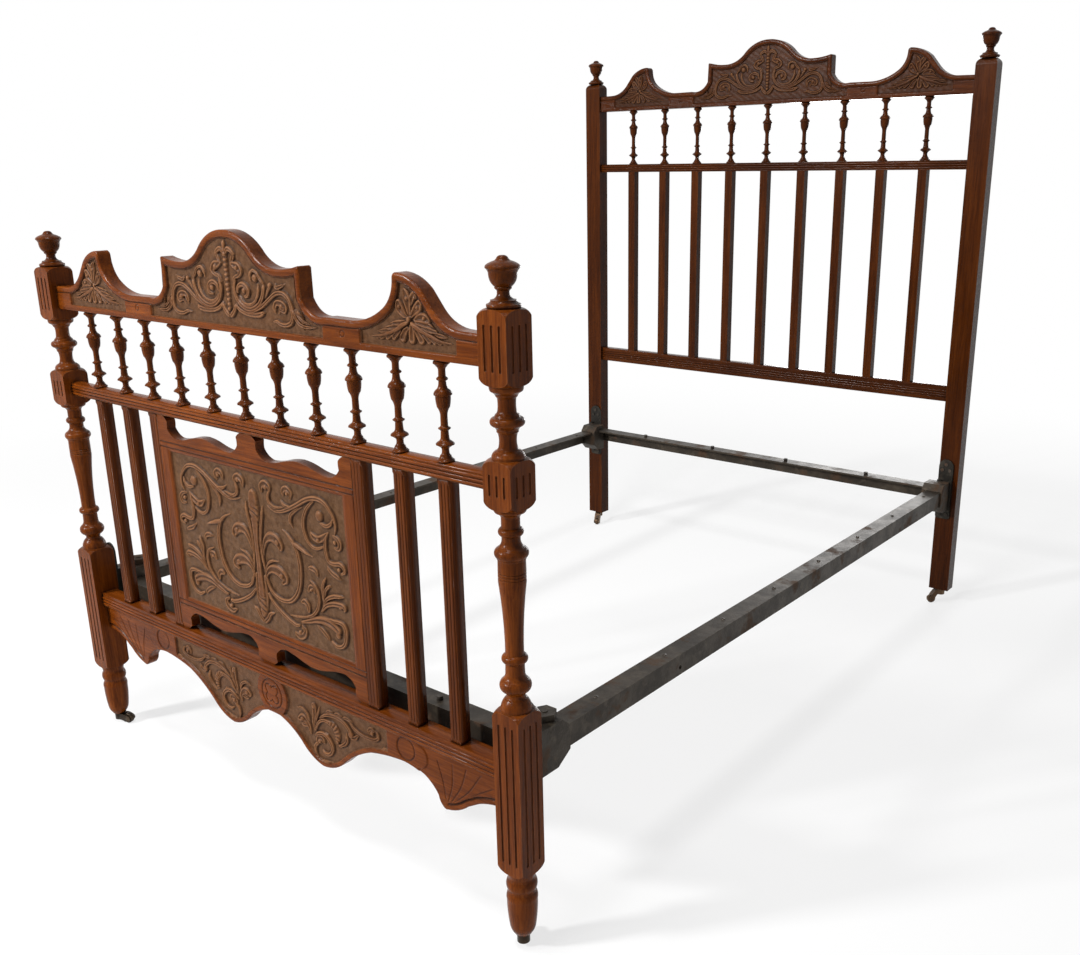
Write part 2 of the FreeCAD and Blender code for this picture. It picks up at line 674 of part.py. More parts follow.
def foot_mid_rail():
    """The reeded middle rail of the foot, crowned so that its front edge is lower."""
    name = "foot_mid_rail"
    bottom, top = "sizes.foot_rail_bottom", "sizes.foot_rail_top"
    front = f"({FOOT_FRONT} + sizes.foot_rail_front)"
    length = f"2 * {FOOT_INNER}"
    depth = size("foot_rail_thickness")
    height = size("foot_rail_top") - size("foot_rail_bottom")
    drop = size("foot_rail_bevel")
    section = [(0, 0), (depth, 0), (depth, height - drop), (depth - 5, height, 1),
               (9, height), (0, height - drop, 1), (0, 0)]
    beam = board(name + "_beam", "YZ_Plane", section, length)
    place(beam, "0", front, bottom)
    solids = [beam] + tenons(name, FOOT_INNER, FOOT_AXIS, bottom, top)
    tools = reed_grooves(name, front, f"{bottom} + {MID_RAIL_REEDS[0]}", length, MID_RAIL_REEDS[1])
    tools += pin_holes(name, FOOT_PLACES, FOOT_AXIS, f"{top} - sizes.spindle_pin_length")
    tools += slat_mortises(name, FOOT_SLAT_PLACES, FOOT_SLAT_Y, f"{bottom} - 1")
    tools += stile_mortises(name, f"{bottom} - 1")
    keep(cut(name, fuse(name + "_wood", solids), tools), name)


def head_rail(name, bottom, top, tools, reeds):
    """A straight rail of the headboard with reeds along its front."""
    length = f"2 * {HEAD_INNER}"
    front = f"({HEAD_AXIS} - sizes.head_rail_thickness / 2)"
    beam = box(name + "_beam", "0", front, bottom, length, "sizes.head_rail_thickness",
               f"{top} - {bottom}")
    solids = [beam] + tenons(name, HEAD_INNER, HEAD_AXIS, bottom, top)
    tools = tools + reed_grooves(name, front, f"{bottom} + {reeds[0]}", length, reeds[1])
    keep(cut(name, fuse(name + "_wood", solids), tools), name)


def head_mid_rail():
    name = "head_mid_rail"
    tools = pin_holes(name, HEAD_PLACES, HEAD_AXIS, "sizes.head_rail_top - sizes.spindle_pin_length")
    tools += slat_mortises(name, HEAD_PLACES, HEAD_SLAT_Y, "sizes.head_rail_bottom - 1")
    head_rail(name, "sizes.head_rail_bottom", "sizes.head_rail_top", tools, HEAD_RAIL_REEDS)


def head_low_rail():
    name = "head_low_rail"
    tools = slat_mortises(name, HEAD_PLACES, HEAD_SLAT_Y,
                          "sizes.head_low_rail_top - sizes.slat_tenon")
    head_rail(name, "sizes.head_low_rail_bottom", "sizes.head_low_rail_top", tools,
              HEAD_LOW_RAIL_REEDS)


# Right half of the apron's lower edge, in X and the height above the floor.
APRON_EDGE = (
    (0, 239), (20, 238.5), (84, 204, -4), (112, 181, 1.5), (149, 168, 2), (212, 195, 6),
    (298, 250.5, -5), (390, 265, -2.5), (440, 255.5, -2), (474, 227, -3), (488, 205, 3),
    (496, 204.5, 1), (548, 230.5, 4), (575, 246.5), (617, 259, -1.5),
    (636.5, 259),
)


def apron_rail():
    """The bottom rail of the foot: a reeded band over a shaped, sunk board."""
    name = "foot_apron_rail"
    reach = size("post_spacing") / 2 - size("foot_post_side") / 2
    band_low = size("apron_top") - size("apron_band")
    half = [(x, z - band_low) + tuple(rest) for x, z, *rest in fitted(APRON_EDGE, reach)]
    half.append((reach, 0.5))
    shaped = board(name + "_board", "XZ_Plane", both_halves(half), "sizes.apron_board_thickness")
    place(shaped, "0", f"{FOOT_FRONT} + sizes.apron_board_front + sizes.apron_board_thickness / 2",
          "sizes.apron_top - sizes.apron_band")
    front = f"({FOOT_FRONT} + sizes.apron_front)"
    length = f"2 * {FOOT_INNER}"
    band = box(name + "_band", "0", front, "sizes.apron_top - sizes.apron_band", length,
               "sizes.apron_thickness", "sizes.apron_band")
    solids = [band, shaped] + tenons(name, FOOT_INNER, FOOT_AXIS, APRON_LOW, "sizes.apron_top")
    tools = reed_grooves(name, front, f"{band_low} + {APRON_REEDS[0]}", length, APRON_REEDS[1])
    tools += slat_mortises(name, FOOT_SLAT_PLACES, FOOT_SLAT_Y, "sizes.apron_top - sizes.slat_tenon")
    tools += stile_mortises(name, "sizes.apron_top - sizes.slat_tenon")
    keep(cut(name, fuse(name + "_wood", solids), tools), name)


# ---- spindles and slats ---------------------------------------------------------------

SPINDLE_FOOT = (
    (14, 0), (14, 2.5, 0.6), (9, 9.5, -0.8), (6, 16, -0.8), (6, 20), (10, 24, -0.6), (15, 27, -0.4),
    (15, 29), (10, 33, 0.4), (7, 39, -0.8), (6.3, 49), (9.8, 52.5, -0.4), (9.8, 54.5, 0.4),
    (6, 58, -0.6),
)
SPINDLE_HEAD = (
    (5.8, -88), (10.5, -75, -1), (12.5, -57, 0.6), (14.8, -55.5), (14.8, -53), (9, -46, 0.8),
    (6.3, -36, -0.8), (6, -33.5), (9, -31.5, 0.2), (9, -29, 0.4), (6, -26.5), (5.8, -16),
    (8.5, -11, -0.6), (13.5, -6, -0.4), (13.5, -3.5), (10.5, 0),
)


def spindle(name, x, y, bottom, top):
    """One turned spindle with its two pins."""
    height = size(top) - size(bottom)
    pin, pin_length = size("spindle_pin_radius"), size("spindle_pin_length") - 1
    steps = [(pin, -pin_length), (pin, 0)] + list(SPINDLE_FOOT) + raised(SPINDLE_HEAD, height)
    steps += [(pin, height), (pin, height + pin_length)]
    body = turned(name, steps)
    place(body, x, y, f"sizes.{bottom}")
    return body


def spindle_row(end, places, axis, bottom, top):
    row = [spindle(f"{end}_spindle_{count + 1}", x, axis, bottom, top)
           for count, x in enumerate(places)]
    group(f"{end}_spindles", row)


def slat(name, x, y, bottom, top, width, grooved):
    """A flat slat with tenons; the foot's slats are reeded in front."""
    body = box(name + "_body", x, y, bottom, width, "sizes.slat_thickness", f"{top} - {bottom}")
    tenon = box(name + "_tenon", x, f"{y} + sizes.slat_shoulder",
                f"{bottom} - sizes.slat_tenon + sizes.joint_gap",
                f"{width} - 2 * sizes.slat_shoulder",
                "sizes.slat_thickness - 2 * sizes.slat_shoulder",
                f"{top} - {bottom} + 2 * sizes.slat_tenon - 2 * sizes.joint_gap")
    wood = fuse(name + "_wood", [body, tenon])
    if not grooved:
        return wood
    tools = []
    for number in (-1.5, -0.5, 0.5, 1.5):
        tools.append(rod(f"{name}_groove_{number + 1.5:.0f}", Vector(0, 0, 1),
                         f"({x}) + {number} * sizes.reed_pitch", y, f"{bottom} + 6",
                         "sizes.reed_groove", f"{top} - {bottom} - 12"))
    return cut(name, wood, tools)


def foot_slats():
    for count, x in enumerate(FOOT_SLAT_PLACES, start=1):
        name = f"foot_slat_{count}"
        keep(slat(name, x, FOOT_SLAT_Y, "sizes.apron_top", "sizes.foot_rail_bottom",
                  "sizes.slat_width", True), name)


def head_slats():
    row = [slat(f"head_slat_{count}", x, HEAD_SLAT_Y, "sizes.head_low_rail_top",
                "sizes.head_rail_bottom", "sizes.slat_width", False)
           for count, x in enumerate(HEAD_PLACES, start=1)]
    group("head_slats", row)


# ---- carved panel ---------------------------------------------------------------------

# The right-hand opening's edge, in X and height above the fret's straight side.
FRET_HEIGHT = 55.5
FRET_EDGE = (
    (14, FRET_HEIGHT), (31, 44.5, -1.5), (30, 27.5, 1), (60, 9, 4), (105, 16.5, 1.5),
    (150, 24, -1.5), (195, 16.5, -1.5), (240, 9, 1.5), (270, 27.5, 4), (269, 44.5, -1),
    (286, FRET_HEIGHT, -1.5),
)


def fret(name, height_low, height_high, upward):
    """The shaped rail over or under the panel: shouldered tabs and a waved edge."""
    half_width = size("stile_place") - size("stile_width") / 2 - size("panel_joint")
    height = size(height_high) - size(height_low)
    half = [(0, height)]
    for x, z, *bulge in FRET_EDGE:
        level = height if z == FRET_HEIGHT else z
        half.append((x, level) + tuple(bulge))
    half += [(half_width, height), (half_width, 0)]
    if not upward:
        half = [(x, height - z) + tuple(-value for value in rest) for x, z, *rest in half]
    body = board(name, "XZ_Plane", both_halves(half), "sizes.panel_thickness")
    place(body, "0", f"{FOOT_FRONT} + sizes.panel_front + sizes.panel_thickness / 2",
          f"sizes.{height_low}")
    keep(body, name)


def panel_stiles():
    for label, side in SIDES:
        name = f"panel_stile_{label}"
        keep(slat(name, f"{side} * sizes.stile_place", FOOT_SLAT_Y, "sizes.apron_top",
                  "sizes.foot_rail_bottom", "sizes.stile_width", True), name)


def carved_panel():
    """The wide panel, its carved field sunk below a plain margin."""
    name = "carved_panel"
    width = "2 * sizes.stile_place - sizes.stile_width - 2 * sizes.panel_joint"
    height = "sizes.panel_top - sizes.panel_bottom"
    front = f"({FOOT_FRONT} + sizes.panel_front)"
    blank = box(name + "_blank", "0", front, "sizes.panel_bottom", width,
                "sizes.panel_thickness", height)
    field = box(name + "_field", "0", f"{front} - 1", "sizes.panel_bottom + sizes.panel_margin_height",
                f"{width} - 2 * sizes.panel_margin", "sizes.carving_depth + 1",
                f"{height} - 2 * sizes.panel_margin_height")
    keep(cut(name, blank, [field]), name)


# ---- angle iron -----------------------------------------------------------------------

def angle(name, plane, turn, length):
    """A length of angle iron; turn mirrors its section left to right."""
    leg, thick = size("iron_leg"), size("iron_thickness")
    section = [(0, 0), (0, -leg), (-thick * turn, -leg), (-thick * turn, -thick),
               (-leg * turn, -thick), (-leg * turn, 0), (0, 0)]
    return board(name, plane, section, length)


def side_rail(label, side):
    """A side rail with its flange turned in, drilled for the rivets."""
    name = f"side_rail_{label}"
    length = "sizes.bed_length - 2 * sizes.side_rail_set"
    iron = angle(name + "_iron", "XZ_Plane", side, length)
    place(iron, f"{side} * {RAIL_PLACE}", MIDDLE_Y, "sizes.side_rail_top")
    tools = []
    for count, y in enumerate(rivet_places()):
        tools.append(rod(f"{name}_rivet_hole_{count}", Vector(0, 0, 1), flange_line(side), y,
                         "sizes.side_rail_top - sizes.iron_thickness - 1",
                         "sizes.rivet_shank + sizes.joint_gap", "sizes.iron_thickness + 2"))
    tools.append(rod(name + "_bolt_hole", Vector(0, 0, 1), flange_line(side), BOLT_Y,
                     "sizes.side_rail_top - sizes.iron_thickness - 1",
                     "sizes.bolt_radius + sizes.joint_gap", "sizes.iron_thickness + 2"))
    if side > 0:
        tools.append(rod(name + "_leg_hole", Vector(1, 0, 0),
                         f"{RAIL_PLACE} - sizes.iron_thickness - 1",
                         f"{FOOT_FRONT} + sizes.leg_hole_set",
                         "sizes.side_rail_top - sizes.leg_hole_drop", "sizes.leg_hole_radius",
                         "sizes.iron_thickness + 2"))
    keep(cut(name, iron, tools), name)


BOLT_Y = f"({FOOT_FRONT} + sizes.bolt_set)"


def flange_line(side):
    """The line along a side rail's flange on which its rivets and corner bolt stand."""
    return f"{side} * ({RAIL_PLACE} - sizes.rivet_line)"


def rivet_places():
    """Even steps from the first rivet to the last."""
    pitch = "(sizes.bed_length - sizes.rivet_first - sizes.rivet_last) / (sizes.rivet_count - 1)"
    return [f"{FOOT_FRONT} + sizes.rivet_first + {number} * {pitch}"
            for number in range(int(size("rivet_count")))]


def rail_rivets():
    rivets = []
    for label, side in SIDES:
        for count, y in enumerate(rivet_places()):
            name = f"rivet_{label}_{count}"
            head = doc.addObject("Part::Sphere", name + "_dome")
            ball = (size("rivet_radius") ** 2 + size("rivet_height") ** 2) / (2 * size("rivet_height"))
            head.Radius = ball
            place(head, flange_line(side), y, f"sizes.side_rail_top + sizes.rivet_height - {ball}")
            window = rod(name + "_cap", Vector(0, 0, 1), flange_line(side), y, "sizes.side_rail_top",
                         "sizes.rivet_radius", "sizes.rivet_height + 1")
            dome = doc.addObject("Part::Common", name + "_head")
            dome.Base = head
            dome.Tool = window
            shank = rod(name + "_shank", Vector(0, 0, 1), flange_line(side), y,
                        "sizes.side_rail_top - sizes.iron_thickness", "sizes.rivet_shank",
                        "sizes.iron_thickness + 0.5")
            rivets.append(fuse(name, [dome, shank]))
    group("rail_rivets", rivets)


FOOT_CROSS_Y = f"({FOOT_FRONT} + sizes.foot_cross_set)"
HEAD_CROSS_Y = f"({HEAD_BACK} - sizes.head_cross_set)"
FOOT_CROSS_TOP = "(sizes.side_rail_top - sizes.iron_thickness)"
HEAD_CROSS_TOP = "(sizes.side_rail_top + sizes.iron_thickness)"


def stud_places():
    return [f"{number} * sizes.stud_pitch" for number in (-1.5, -0.5, 0.5, 1.5)]


def cross_iron(end, y, top, turn):
    """A cross iron: the foot's lies under the side rails' flanges, the head's over them."""
    name = f"{end}_cross_iron"
    iron = angle(name + "_iron", "YZ_Plane", turn, f"2 * {CROSS_END}")
    place(iron, "0", y, top)
    tools = [rod(f"{name}_stud_hole_{count}", Vector(0, 0, 1), x, stud_y(y, turn),
                 f"{top} - sizes.iron_thickness - 1", "sizes.stud_radius / 2 + sizes.joint_gap",
                 "sizes.iron_thickness + 2")
             for count, x in enumerate(stud_places())]
    if end == "head":
        for label, side in SIDES:
            notch = box(f"{name}_notch_{label}", f"{side} * ({CROSS_END} + 20)",
                        f"{y} - sizes.iron_leg - 1", f"{top} - sizes.iron_leg - 1",
                        f"2 * ({CROSS_END} + 20 - {RAIL_PLACE} + sizes.iron_leg) + 1",
                        "sizes.iron_leg + 2", "sizes.iron_leg - sizes.iron_thickness + 1")
            tools.append(notch)
    keep(cut(name, iron, tools), name)


def stud_y(y, turn):
    return f"{y} - {turn} * sizes.iron_leg / 2"


def lath_studs():
    studs = []
    for end, y, top, turn in (("foot", FOOT_CROSS_Y, FOOT_CROSS_TOP, -1),
                              ("head", HEAD_CROSS_Y, HEAD_CROSS_TOP, 1)):
        for count, x in enumerate(stud_places()):
            name = f"stud_{end}_{count}"
            head = rod(name + "_head", Vector(0, 0, 1), x, stud_y(y, turn), top,
                       "sizes.stud_radius", "sizes.stud_height")
            shank = rod(name + "_shank", Vector(0, 0, 1), x, stud_y(y, turn),
                        f"{top} - sizes.iron_thickness", "sizes.stud_radius / 2",
                        "sizes.iron_thickness + 1")
            studs.append(fuse(name, [head, shank]))
    group("lath_studs", studs)


# ---- post plates and corner castings --------------------------------------------------

# Each end's name, its posts' inner face and the way out of the wood.
ENDS = (
    ("foot", f"({FOOT_FRONT} + sizes.foot_post_side)", 1),
    ("head", f"({HEAD_BACK} - sizes.head_post_depth)", -1),
)


def post_plate(end, label, side, face, way):
    """The plate screwed to a post, with two ribs that leave a dovetail socket."""
    name = f"post_plate_{end}_{label}"
    middle = f"{side} * {PLATE_MIDDLE}"
    half, thick = size("plate_width") / 2, size("plate_thickness")
    low, high = size("plate_bottom"), size("plate_top")
    outline = [(-half, low + 8), (-half + 8, low, 2.3), (half - 8, low), (half, low + 8, 2.3),
               (half, high - half), (-half, high - half, half), (-half, low + 8)]
    sheet_iron = board(name + "_sheet", "XZ_Plane", outline, "sizes.plate_thickness")
    place(sheet_iron, middle, f"{face} + {way} * sizes.plate_thickness / 2")
    mouth = size("socket_mouth") / 2
    flare, depth = size("socket_flare"), size("socket_depth")
    ribs = []
    for tag, hand in SIDES:
        section = [(hand * (mouth + flare), way * (thick - 1)), (hand * half, way * (thick - 1)),
                   (hand * half, way * (thick + depth)), (hand * mouth, way * (thick + depth)),
                   (hand * (mouth + flare), way * (thick - 1))]
        rib = board(f"{name}_rib_{tag}", "XY_Plane", section, "sizes.socket_top - sizes.socket_bottom")
        place(rib, middle, face, "(sizes.socket_top + sizes.socket_bottom) / 2")
        ribs.append(rib)
    tools = screw_holes(name, side, face, -way)
    keep(cut(name, fuse(name + "_iron", [sheet_iron] + ribs), tools), name)


# Shares of a casting's length at which its top and its bottom start towards the nose.
NOSE_TOP_START = 0.75
NOSE_LOW_START = 0.6


def casting(end, label, side, face, way):
    """The corner casting: it holds the iron's ends and hooks into the post plate."""
    name = f"corner_casting_{end}_{label}"
    long = size(f"{end}_casting_length")
    low, high = size("casting_bottom"), size("casting_top")
    mouth_place = size("plate_thickness") + size("socket_depth")
    start = mouth_place + size("casting_gap")
    nose = size("casting_shoulder")
    profile = [(way * start, low), (way * start, high),
               (way * (start + long * NOSE_TOP_START), high),
               (way * (start + long), high - nose),
               (way * (start + long), low + size("casting_nose")),
               (way * (start + long * NOSE_LOW_START), low), (way * start, low)]
    body = board(name + "_body", "YZ_Plane", profile, "sizes.casting_out + sizes.casting_in")
    place(body, f"{side} * (sizes.post_spacing + sizes.casting_out - sizes.casting_in) / 2", face)
    mouth = size("socket_mouth") / 2 - size("socket_gap")
    near = size("plate_thickness") + size("socket_gap")
    wide = mouth + size("socket_flare") * (mouth_place - near) / (size("socket_depth") + 1)
    tongue_section = [(-wide, way * near), (wide, way * near),
                      (mouth, way * mouth_place), (mouth, way * (start + 1)),
                      (-mouth, way * (start + 1)), (-mouth, way * mouth_place),
                      (-wide, way * near)]
    tongue = board(name + "_tongue", "XY_Plane", tongue_section, "sizes.tongue_length")
    place(tongue, f"{side} * {PLATE_MIDDLE}", face,
          "sizes.casting_bottom + sizes.tongue_set + sizes.tongue_length / 2")
    gap = size("joint_gap")
    leg, thick = size("iron_leg"), size("iron_thickness")
    rail_slot = board(name + "_rail_slot", "XZ_Plane", [
        (gap * side, gap), (gap * side, -leg - gap), (-(thick + gap) * side, -leg - gap),
        (-(thick + gap) * side, -thick - gap), (-(leg + gap) * side, -thick - gap),
        (-(leg + gap) * side, gap), (gap * side, gap),
    ], "sizes.bed_length - 2 * sizes.side_rail_set + 2 * sizes.joint_gap")
    place(rail_slot, f"{side} * {RAIL_PLACE}", MIDDLE_Y, "sizes.side_rail_top")
    cross_y = FOOT_CROSS_Y if end == "foot" else HEAD_CROSS_Y
    cross_top = FOOT_CROSS_TOP if end == "foot" else HEAD_CROSS_TOP
    slot = [(-way * gap, gap), (-way * gap, -leg - gap),
            (way * (thick + gap), -leg - gap), (way * (thick + gap), -thick - gap),
            (way * (leg + gap), -thick - gap), (way * (leg + gap), gap),
            (-way * gap, gap)]
    cross_slot = board(name + "_cross_slot", "YZ_Plane", slot,
                       f"2 * {CROSS_END} + 2 * sizes.joint_gap")
    place(cross_slot, "0", cross_y, cross_top)
    tools = [rail_slot, cross_slot]
    if end == "foot":
        tools.append(rod(name + "_bolt_hole", Vector(0, 0, 1), flange_line(side), BOLT_Y,
                         "sizes.casting_bottom - 1", "sizes.bolt_radius + sizes.joint_gap",
                         "sizes.casting_top - sizes.casting_bottom + 2"))
    keep(cut(name, fuse(name + "_iron", [body, tongue]), tools), name)


def corner_bolts():
    """A bolt through each foot casting, with a big nut on top."""
    bolts = []
    for label, side in SIDES:
        name = f"corner_bolt_{label}"
        nut = doc.addObject("Part::Prism", name + "_nut")
        nut.Polygon = 6
        bind(nut, {"Circumradius": "sizes.nut_radius", "Height": "sizes.nut_height"})
        place(nut, flange_line(side), BOLT_Y, "sizes.casting_top")
        shank = rod(name + "_shank", Vector(0, 0, 1), flange_line(side), BOLT_Y,
                    "sizes.casting_bottom + sizes.bolt_foot", "sizes.bolt_radius",
                    "sizes.casting_top - sizes.casting_bottom - sizes.bolt_foot"
                    " + sizes.nut_height + sizes.bolt_tip")
        bolts.append(fuse(name, [nut, shank]))
    group("corner_bolts", bolts)


def plate_screws():
    screws = []
    for end, face, way in ENDS:
        for label, side in SIDES:
            for count, spot in enumerate(SCREW_PLACES):
                name = f"screw_{end}_{label}_{count}"
                x = f"{side} * {PLATE_MIDDLE} + {spot[0]}"
                z = screw_height(count)
                head = rod(name + "_head", Vector(0, way, 0), x,
                           f"{face} + {way} * sizes.plate_thickness", z, "sizes.screw_head",
                           "sizes.screw_head_height")
                shank = rod(name + "_shank", Vector(0, -way, 0), x,
                            f"{face} + {way} * (sizes.plate_thickness + 1)", z, "sizes.screw_shank",
                            "sizes.screw_length")
                screws.append(fuse(name, [head, shank]))
    group("plate_screws", screws)


# ---- casters --------------------------------------------------------------------------

# Each caster: its end and side, and the angle in plan at which its wheel trails.
CASTERS = (("foot", "left", -1, 17), ("foot", "right", 1, 132.5),
           ("head", "left", -1, -68.6), ("head", "right", 1, -139.5))


def caster(end, label, side, angle_in_plan):
    """A cup in the post, a horn that swivels in it, and a wheel on an axle in the horn."""
    tag = f"{end}_{label}"
    x = side * size("post_spacing") / 2
    y = foot_axis if end == "foot" else head_axis
    wood = f"sizes.{end}_wood_bottom"
    x_formula = f"{side} * sizes.post_spacing / 2"
    y_formula = FOOT_AXIS if end == "foot" else HEAD_AXIS
    sleeve = rod(f"caster_cup_{tag}_sleeve", Vector(0, 0, 1), x_formula, y_formula, wood,
                 "sizes.pin_radius + sizes.running_gap + sizes.cup_wall", "sizes.pin_length + 1")
    flange = rod(f"caster_cup_{tag}_flange", Vector(0, 0, 1), x_formula, y_formula,
                 f"{wood} - sizes.cup_wall", f"sizes.{end}_cup_radius", "sizes.cup_wall")
    bore = rod(f"caster_cup_{tag}_bore", Vector(0, 0, 1), x_formula, y_formula,
               f"{wood} - sizes.cup_wall - 1", "sizes.pin_radius + sizes.running_gap",
               "sizes.pin_length + 6")
    cup_name = f"caster_cup_{tag}"
    keep(cut(cup_name, fuse(cup_name + "_brass", [sleeve, flange]), [bore]), cup_name)

    turn = Rotation(Vector(0, 0, 1), angle_in_plan)
    trail = size("caster_trail")
    hub = turn.multVec(Vector(trail, 0, size("wheel_radius"))) + Vector(x, y, 0)
    across = turn.multVec(Vector(0, 1, 0))
    half = size("horn_width") / 2
    crown_top = size(f"{end}_wood_bottom") - size("cup_wall") - size("swivel_gap")
    crown_low = crown_top - size(f"{end}_horn_drop")
    reach = size(f"{end}_cup_radius") - 1
    wheel = size("wheel_radius")
    cheek = [(-4, crown_low), (-4, crown_top), (reach, crown_top), (trail + 5, wheel + 7, -2),
             (trail + 5, wheel - 7, -5.5), (trail - 4, wheel - 8), (reach - 2, crown_low, 1),
             (-4, crown_low)]
    arm = board(f"caster_horn_{tag}_arm", "XZ_Plane", cheek, "sizes.horn_width")
    arm.Placement = FreeCAD.Placement(Vector(x, y, 0), turn)
    crown = rod(f"caster_horn_{tag}_crown", Vector(0, 0, 1), x_formula, y_formula,
                f"{wood} - sizes.cup_wall - sizes.swivel_gap - sizes.{end}_horn_drop",
                f"sizes.{end}_cup_radius - 1", f"sizes.{end}_horn_drop")
    pin = rod(f"caster_horn_{tag}_pin", Vector(0, 0, 1), x_formula, y_formula,
              f"{wood} - sizes.cup_wall - sizes.swivel_gap - 1", "sizes.pin_radius",
              "sizes.pin_length + 1")

    def crossways(name, radius, length):
        thing = doc.addObject("Part::Cylinder", name)
        bind(thing, {"Radius": radius, "Height": length})
        base = hub - across * (size_of(length) / 2)
        thing.Placement = FreeCAD.Placement(base, Rotation(Vector(0, 0, 1), across))
        return thing

    def size_of(formula):
        total = 0
        for part in formula.split(" + "):
            factor, _, name = part.rpartition(" * ")
            total += float(factor or 1) * size(name.replace("sizes.", ""))
        return total

    space = crossways(f"caster_horn_{tag}_space", "sizes.wheel_radius + sizes.wheel_gap",
                      "sizes.wheel_width + 2 * sizes.running_gap + sizes.wheel_gap")
    axle_hole = crossways(f"caster_horn_{tag}_axle_hole", "sizes.axle_radius", "2 * sizes.horn_width")
    horn_name = f"caster_horn_{tag}"
    keep(cut(horn_name, fuse(horn_name + "_metal", [arm, crown, pin]), [space, axle_hole]), horn_name)

    axle = crossways(f"caster_axle_{tag}", "sizes.axle_radius", "sizes.horn_width")
    keep(axle, f"caster_axle_{tag}")

    tyre, bore_radius = size("wheel_radius"), size("axle_radius") + size("running_gap")
    wide = size("wheel_width") / 2
    rim = [(bore_radius, -wide + 1), (6, -wide), (tyre - 2, -wide + 1), (tyre, -wide + 3, 0.6),
           (tyre, wide - 3), (tyre - 2, wide - 1, 0.6), (6, wide), (bore_radius, wide - 1),
           (bore_radius, -wide + 1)]
    body, sketch = sketched(f"caster_wheel_{tag}", "XZ_Plane", path(rim))
    turning = body.newObject("PartDesign::Revolution", f"caster_wheel_{tag}_turning")
    turning.Profile = sketch
    turning.ReferenceAxis = (sketch, ["V_Axis"])
    turning.Angle = 360
    body.Placement = FreeCAD.Placement(hub, Rotation(Vector(0, 0, 1), across))
    keep(body, f"caster_wheel_{tag}")
    print(f"caster {tag}: swivel {x:.2f} {y:.2f}, hub {hub.x:.3f} {hub.y:.3f} {hub.z:.3f}, "
          f"axle {across.x:.6f} {across.y:.6f}")


# ---- the bed --------------------------------------------------------------------------

for label, side in SIDES:
    foot_post(label, side)
    head_post(label, side)
    finial(f"foot_{label}", f"{side} * sizes.post_spacing / 2", FOOT_AXIS, FOOT_TOP)
    finial(f"head_{label}", f"{side} * sizes.post_spacing / 2", HEAD_AXIS, "sizes.head_post_top")
    side_rail(label, side)
    for end, face, way in ENDS:
        post_plate(end, label, side, face, way)
        casting(end, label, side, face, way)

crest_rail("foot", FOOT_INNER, FOOT_AXIS, "sizes.foot_crest_bottom", FOOT_PLACES)
crest_rail("head", HEAD_INNER, HEAD_AXIS, "sizes.head_crest_bottom", HEAD_PLACES)
foot_mid_rail()
apron_rail()
head_mid_rail()
head_low_rail()
spindle_row("foot", FOOT_PLACES, FOOT_AXIS, "foot_rail_top", "foot_crest_bottom")
spindle_row("head", HEAD_PLACES, HEAD_AXIS, "head_rail_top", "head_crest_bottom")
foot_slats()
head_slats()
panel_stiles()
carved_panel()
fret("panel_top_fret", "panel_top", "foot_rail_bottom", True)
fret("panel_bottom_fret", "apron_top", "panel_bottom", False)
cross_iron("foot", FOOT_CROSS_Y, FOOT_CROSS_TOP, -1)
cross_iron("head", HEAD_CROSS_Y, HEAD_CROSS_TOP, 1)
lath_studs()
rail_rivets()
plate_screws()
corner_bolts()
for end, label, side, angle_in_plan in CASTERS:
    caster(end, label, side, angle_in_plan)

doc.recompute()

faults = [thing.Name for thing in doc.Objects
          if "Invalid" in thing.State or "Error" in thing.State]
for node in nodes:
    if node.Shape.isNull() or not node.Shape.isValid() or not node.Shape.Solids:
        faults.append(node.Label)
if faults:
    raise RuntimeError("failed: " + ", ".join(faults))

os.makedirs("parts", exist_ok=True)
for node in nodes:
    node.Shape.exportStep(f"parts/{node.Label}.step")
    box_now = node.Shape.BoundBox
    print(f"{node.Label}: solids {len(node.Shape.Solids)}, {node.Shape.Volume / 1000:.1f} cm3, "
          f"x {box_now.XMin:.1f} {box_now.XMax:.1f}, y {box_now.YMin:.1f} {box_now.YMax:.1f}, "
          f"z {box_now.ZMin:.1f} {box_now.ZMax:.1f}")
print(len(nodes), "nodes")
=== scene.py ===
# %% [markdown]
# # A spindle bed, dressed
# The bed has two carved and turned wooden ends and a frame of angle iron between them. The
# solids come from the CAD model, at their real size. This lesson gives them their finish, and
# builds the pieces whose looks are in their surface: the carved crest rails, the carved panel,
# the apron, and the reeded rails and slats. Everything is in metres, the foot end looks towards
# -Y, and the floor is at Z 0.

# %% Load the frame
import math

import bpy
import numpy as np
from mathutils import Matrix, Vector
from mathutils.bvhtree import BVHTree


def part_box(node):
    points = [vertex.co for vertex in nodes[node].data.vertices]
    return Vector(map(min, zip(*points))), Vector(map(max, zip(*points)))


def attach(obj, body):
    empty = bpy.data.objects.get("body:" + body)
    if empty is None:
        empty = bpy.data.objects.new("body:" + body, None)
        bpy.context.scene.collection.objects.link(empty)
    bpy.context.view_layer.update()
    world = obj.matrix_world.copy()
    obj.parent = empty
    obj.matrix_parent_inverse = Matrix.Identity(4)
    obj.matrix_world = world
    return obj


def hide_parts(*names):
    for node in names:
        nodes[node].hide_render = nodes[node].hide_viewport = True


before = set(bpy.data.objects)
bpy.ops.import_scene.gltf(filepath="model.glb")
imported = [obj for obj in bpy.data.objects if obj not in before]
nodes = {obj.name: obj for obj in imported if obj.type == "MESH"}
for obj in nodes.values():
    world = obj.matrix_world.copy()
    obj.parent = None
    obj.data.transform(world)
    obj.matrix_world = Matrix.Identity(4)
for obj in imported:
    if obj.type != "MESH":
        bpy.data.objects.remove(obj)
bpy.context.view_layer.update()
MM = 0.001

